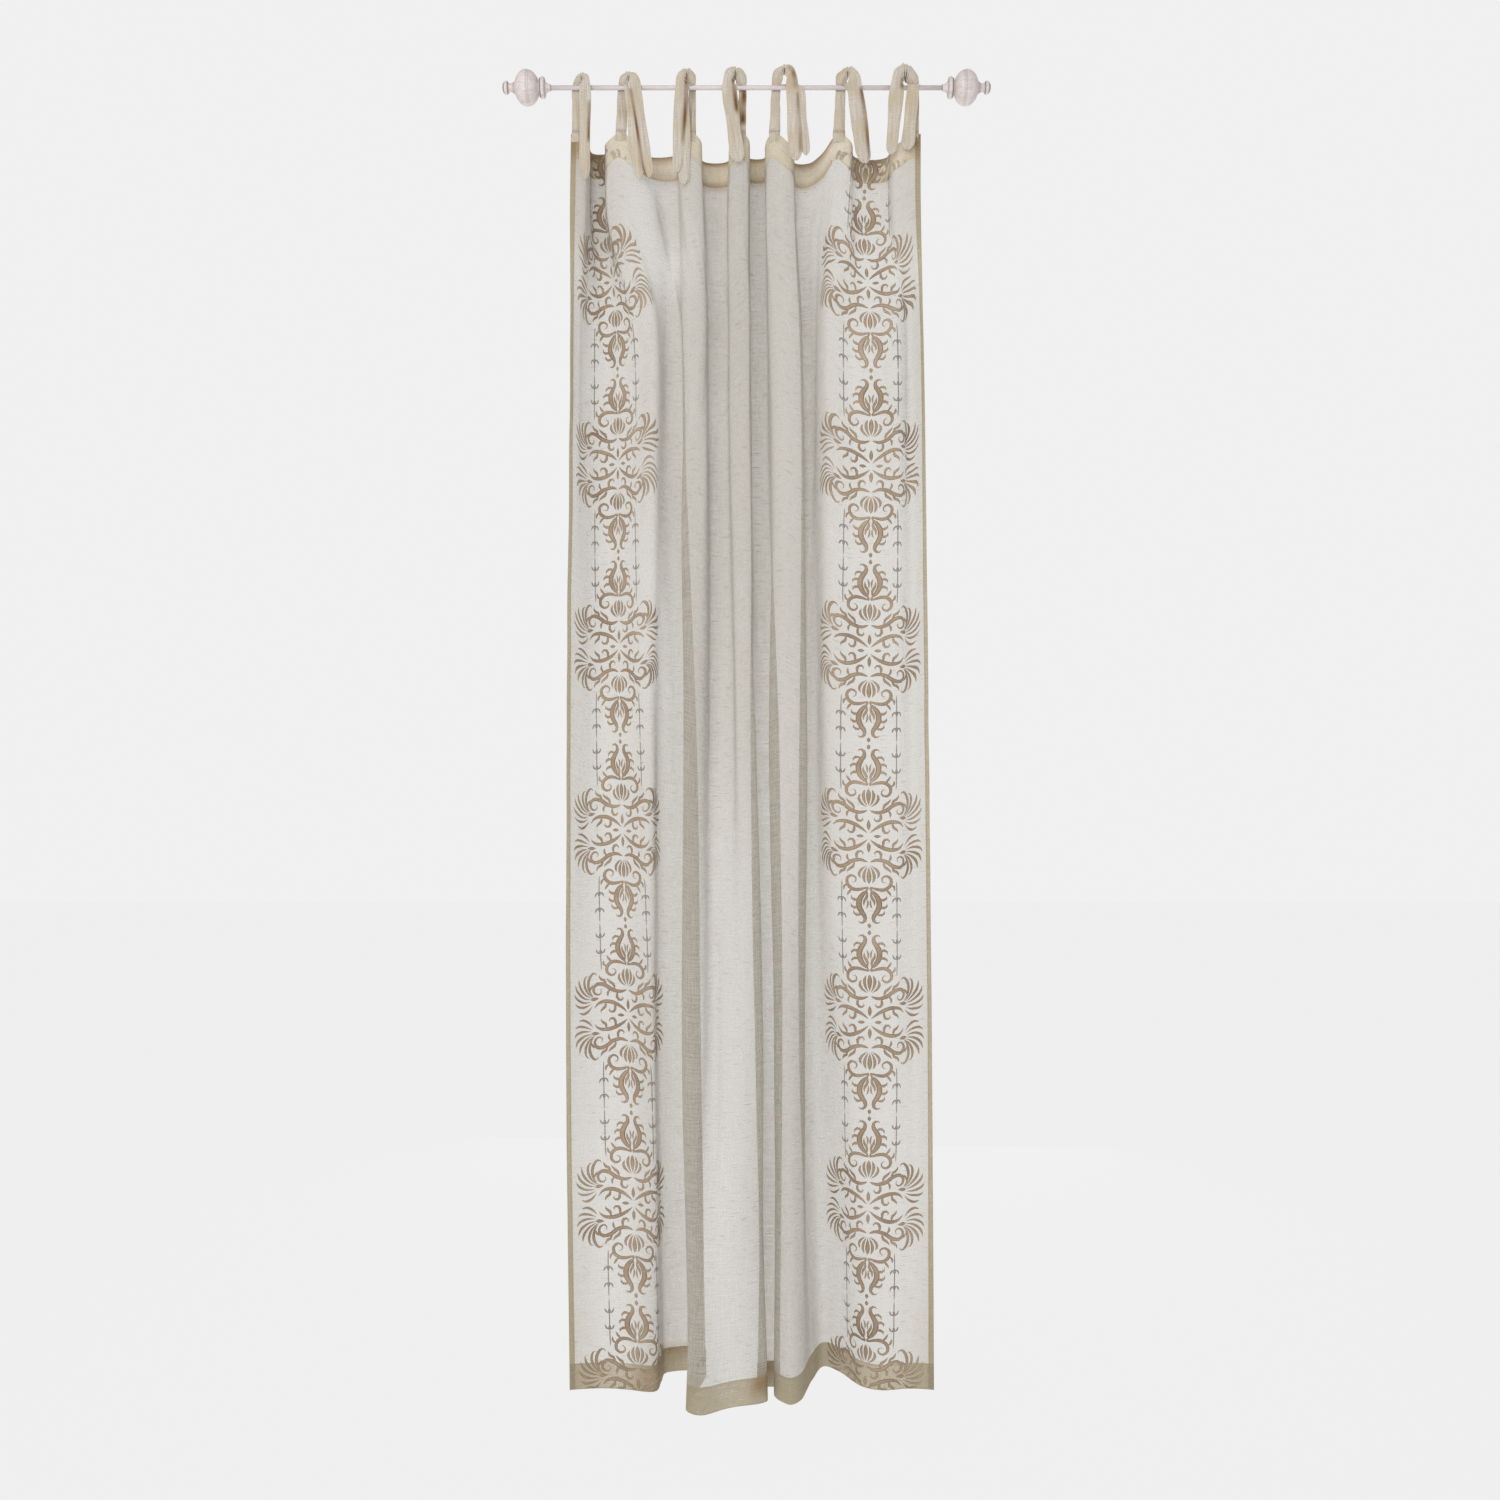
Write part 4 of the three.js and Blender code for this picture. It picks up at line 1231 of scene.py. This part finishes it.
def limed_wood():
    material, tree = new_material("limed_turned_beech")
    place = add(tree, "TexCoord", out="Object")
    drawn = add(tree, "Mapping", {"Vector": place, "Scale": (30, 260, 260)})
    grain = add(tree, "TexNoise", {"Vector": drawn, "Scale": 1.0, "Detail": 4.0})
    dark_rings = add(tree, "Attribute", out="Fac", attribute_name="dark_rings")
    pale = add(tree, "ValToRGB", {"Fac": grain}, stops=[(0.3, "#c6bab6"), (0.55, "#d9cfcb"), (0.75, "#e4dcd8")])
    open_grain = add(tree, "Math", {0: grain, 1: 0.35}, operation="ADD")
    # Darker rings in the grooves, at the steps and along the rims, from the profile's table.
    colour = coloured(tree, pale, [(dark_rings, open_grain, "#5d4c48")])
    bump = add(tree, "Bump", {"Height": grain, "Strength": 0.15, "Distance": 0.0008})
    surface = add(tree, "BsdfPrincipled", {
        "Base Color": colour, "Roughness": 0.55, "IOR": 1.48, "Normal": bump})
    add(tree, "OutputMaterial", {"Surface": surface})
    return material


LIMED = limed_wood()
print("ball rows:", len(ball_rows()))

# %% Turn the finials
def build_finial(side, direction):
    bore = ROD_RADIUS + FIT_GAP
    rows = [(ROD_TENON + FIT_GAP, 0, 0.0), (ROD_TENON + FIT_GAP, bore, 0.0), (-15, bore, 0.3)]
    rows += [*BELL_AND_COLLAR, *ball_rows(), *NECK_AND_BUTTON]
    bm = bmesh.new()
    dark_rings = bm.verts.layers.float.new("dark_rings")
    verts = []
    for out, radius, dark in rows:
        vert = bm.verts.new(((ROD_HALF + out) * direction * MM, 0, radius * MM))
        vert[dark_rings] = dark
        verts.append(vert)
    edges = [bm.edges.new(pair) for pair in zip(verts[:-1], verts[1:])]
    bmesh.ops.spin(
        bm, geom=[*verts, *edges], cent=(0, 0, 0), axis=(1, 0, 0), angle=2 * math.pi, steps=LATHE_STEPS,
        use_merge=True)
    bmesh.ops.remove_doubles(bm, verts=bm.verts, dist=1e-6)
    bmesh.ops.recalc_face_normals(bm, faces=bm.faces)
    return new_piece(f"finial_turned_{side}", bm, LIMED, [f"finial_{side}"])


FINIALS = [build_finial("left", -1), build_finial("right", 1)]
print("finials:", [triangles(finial) for finial in FINIALS], "triangles")
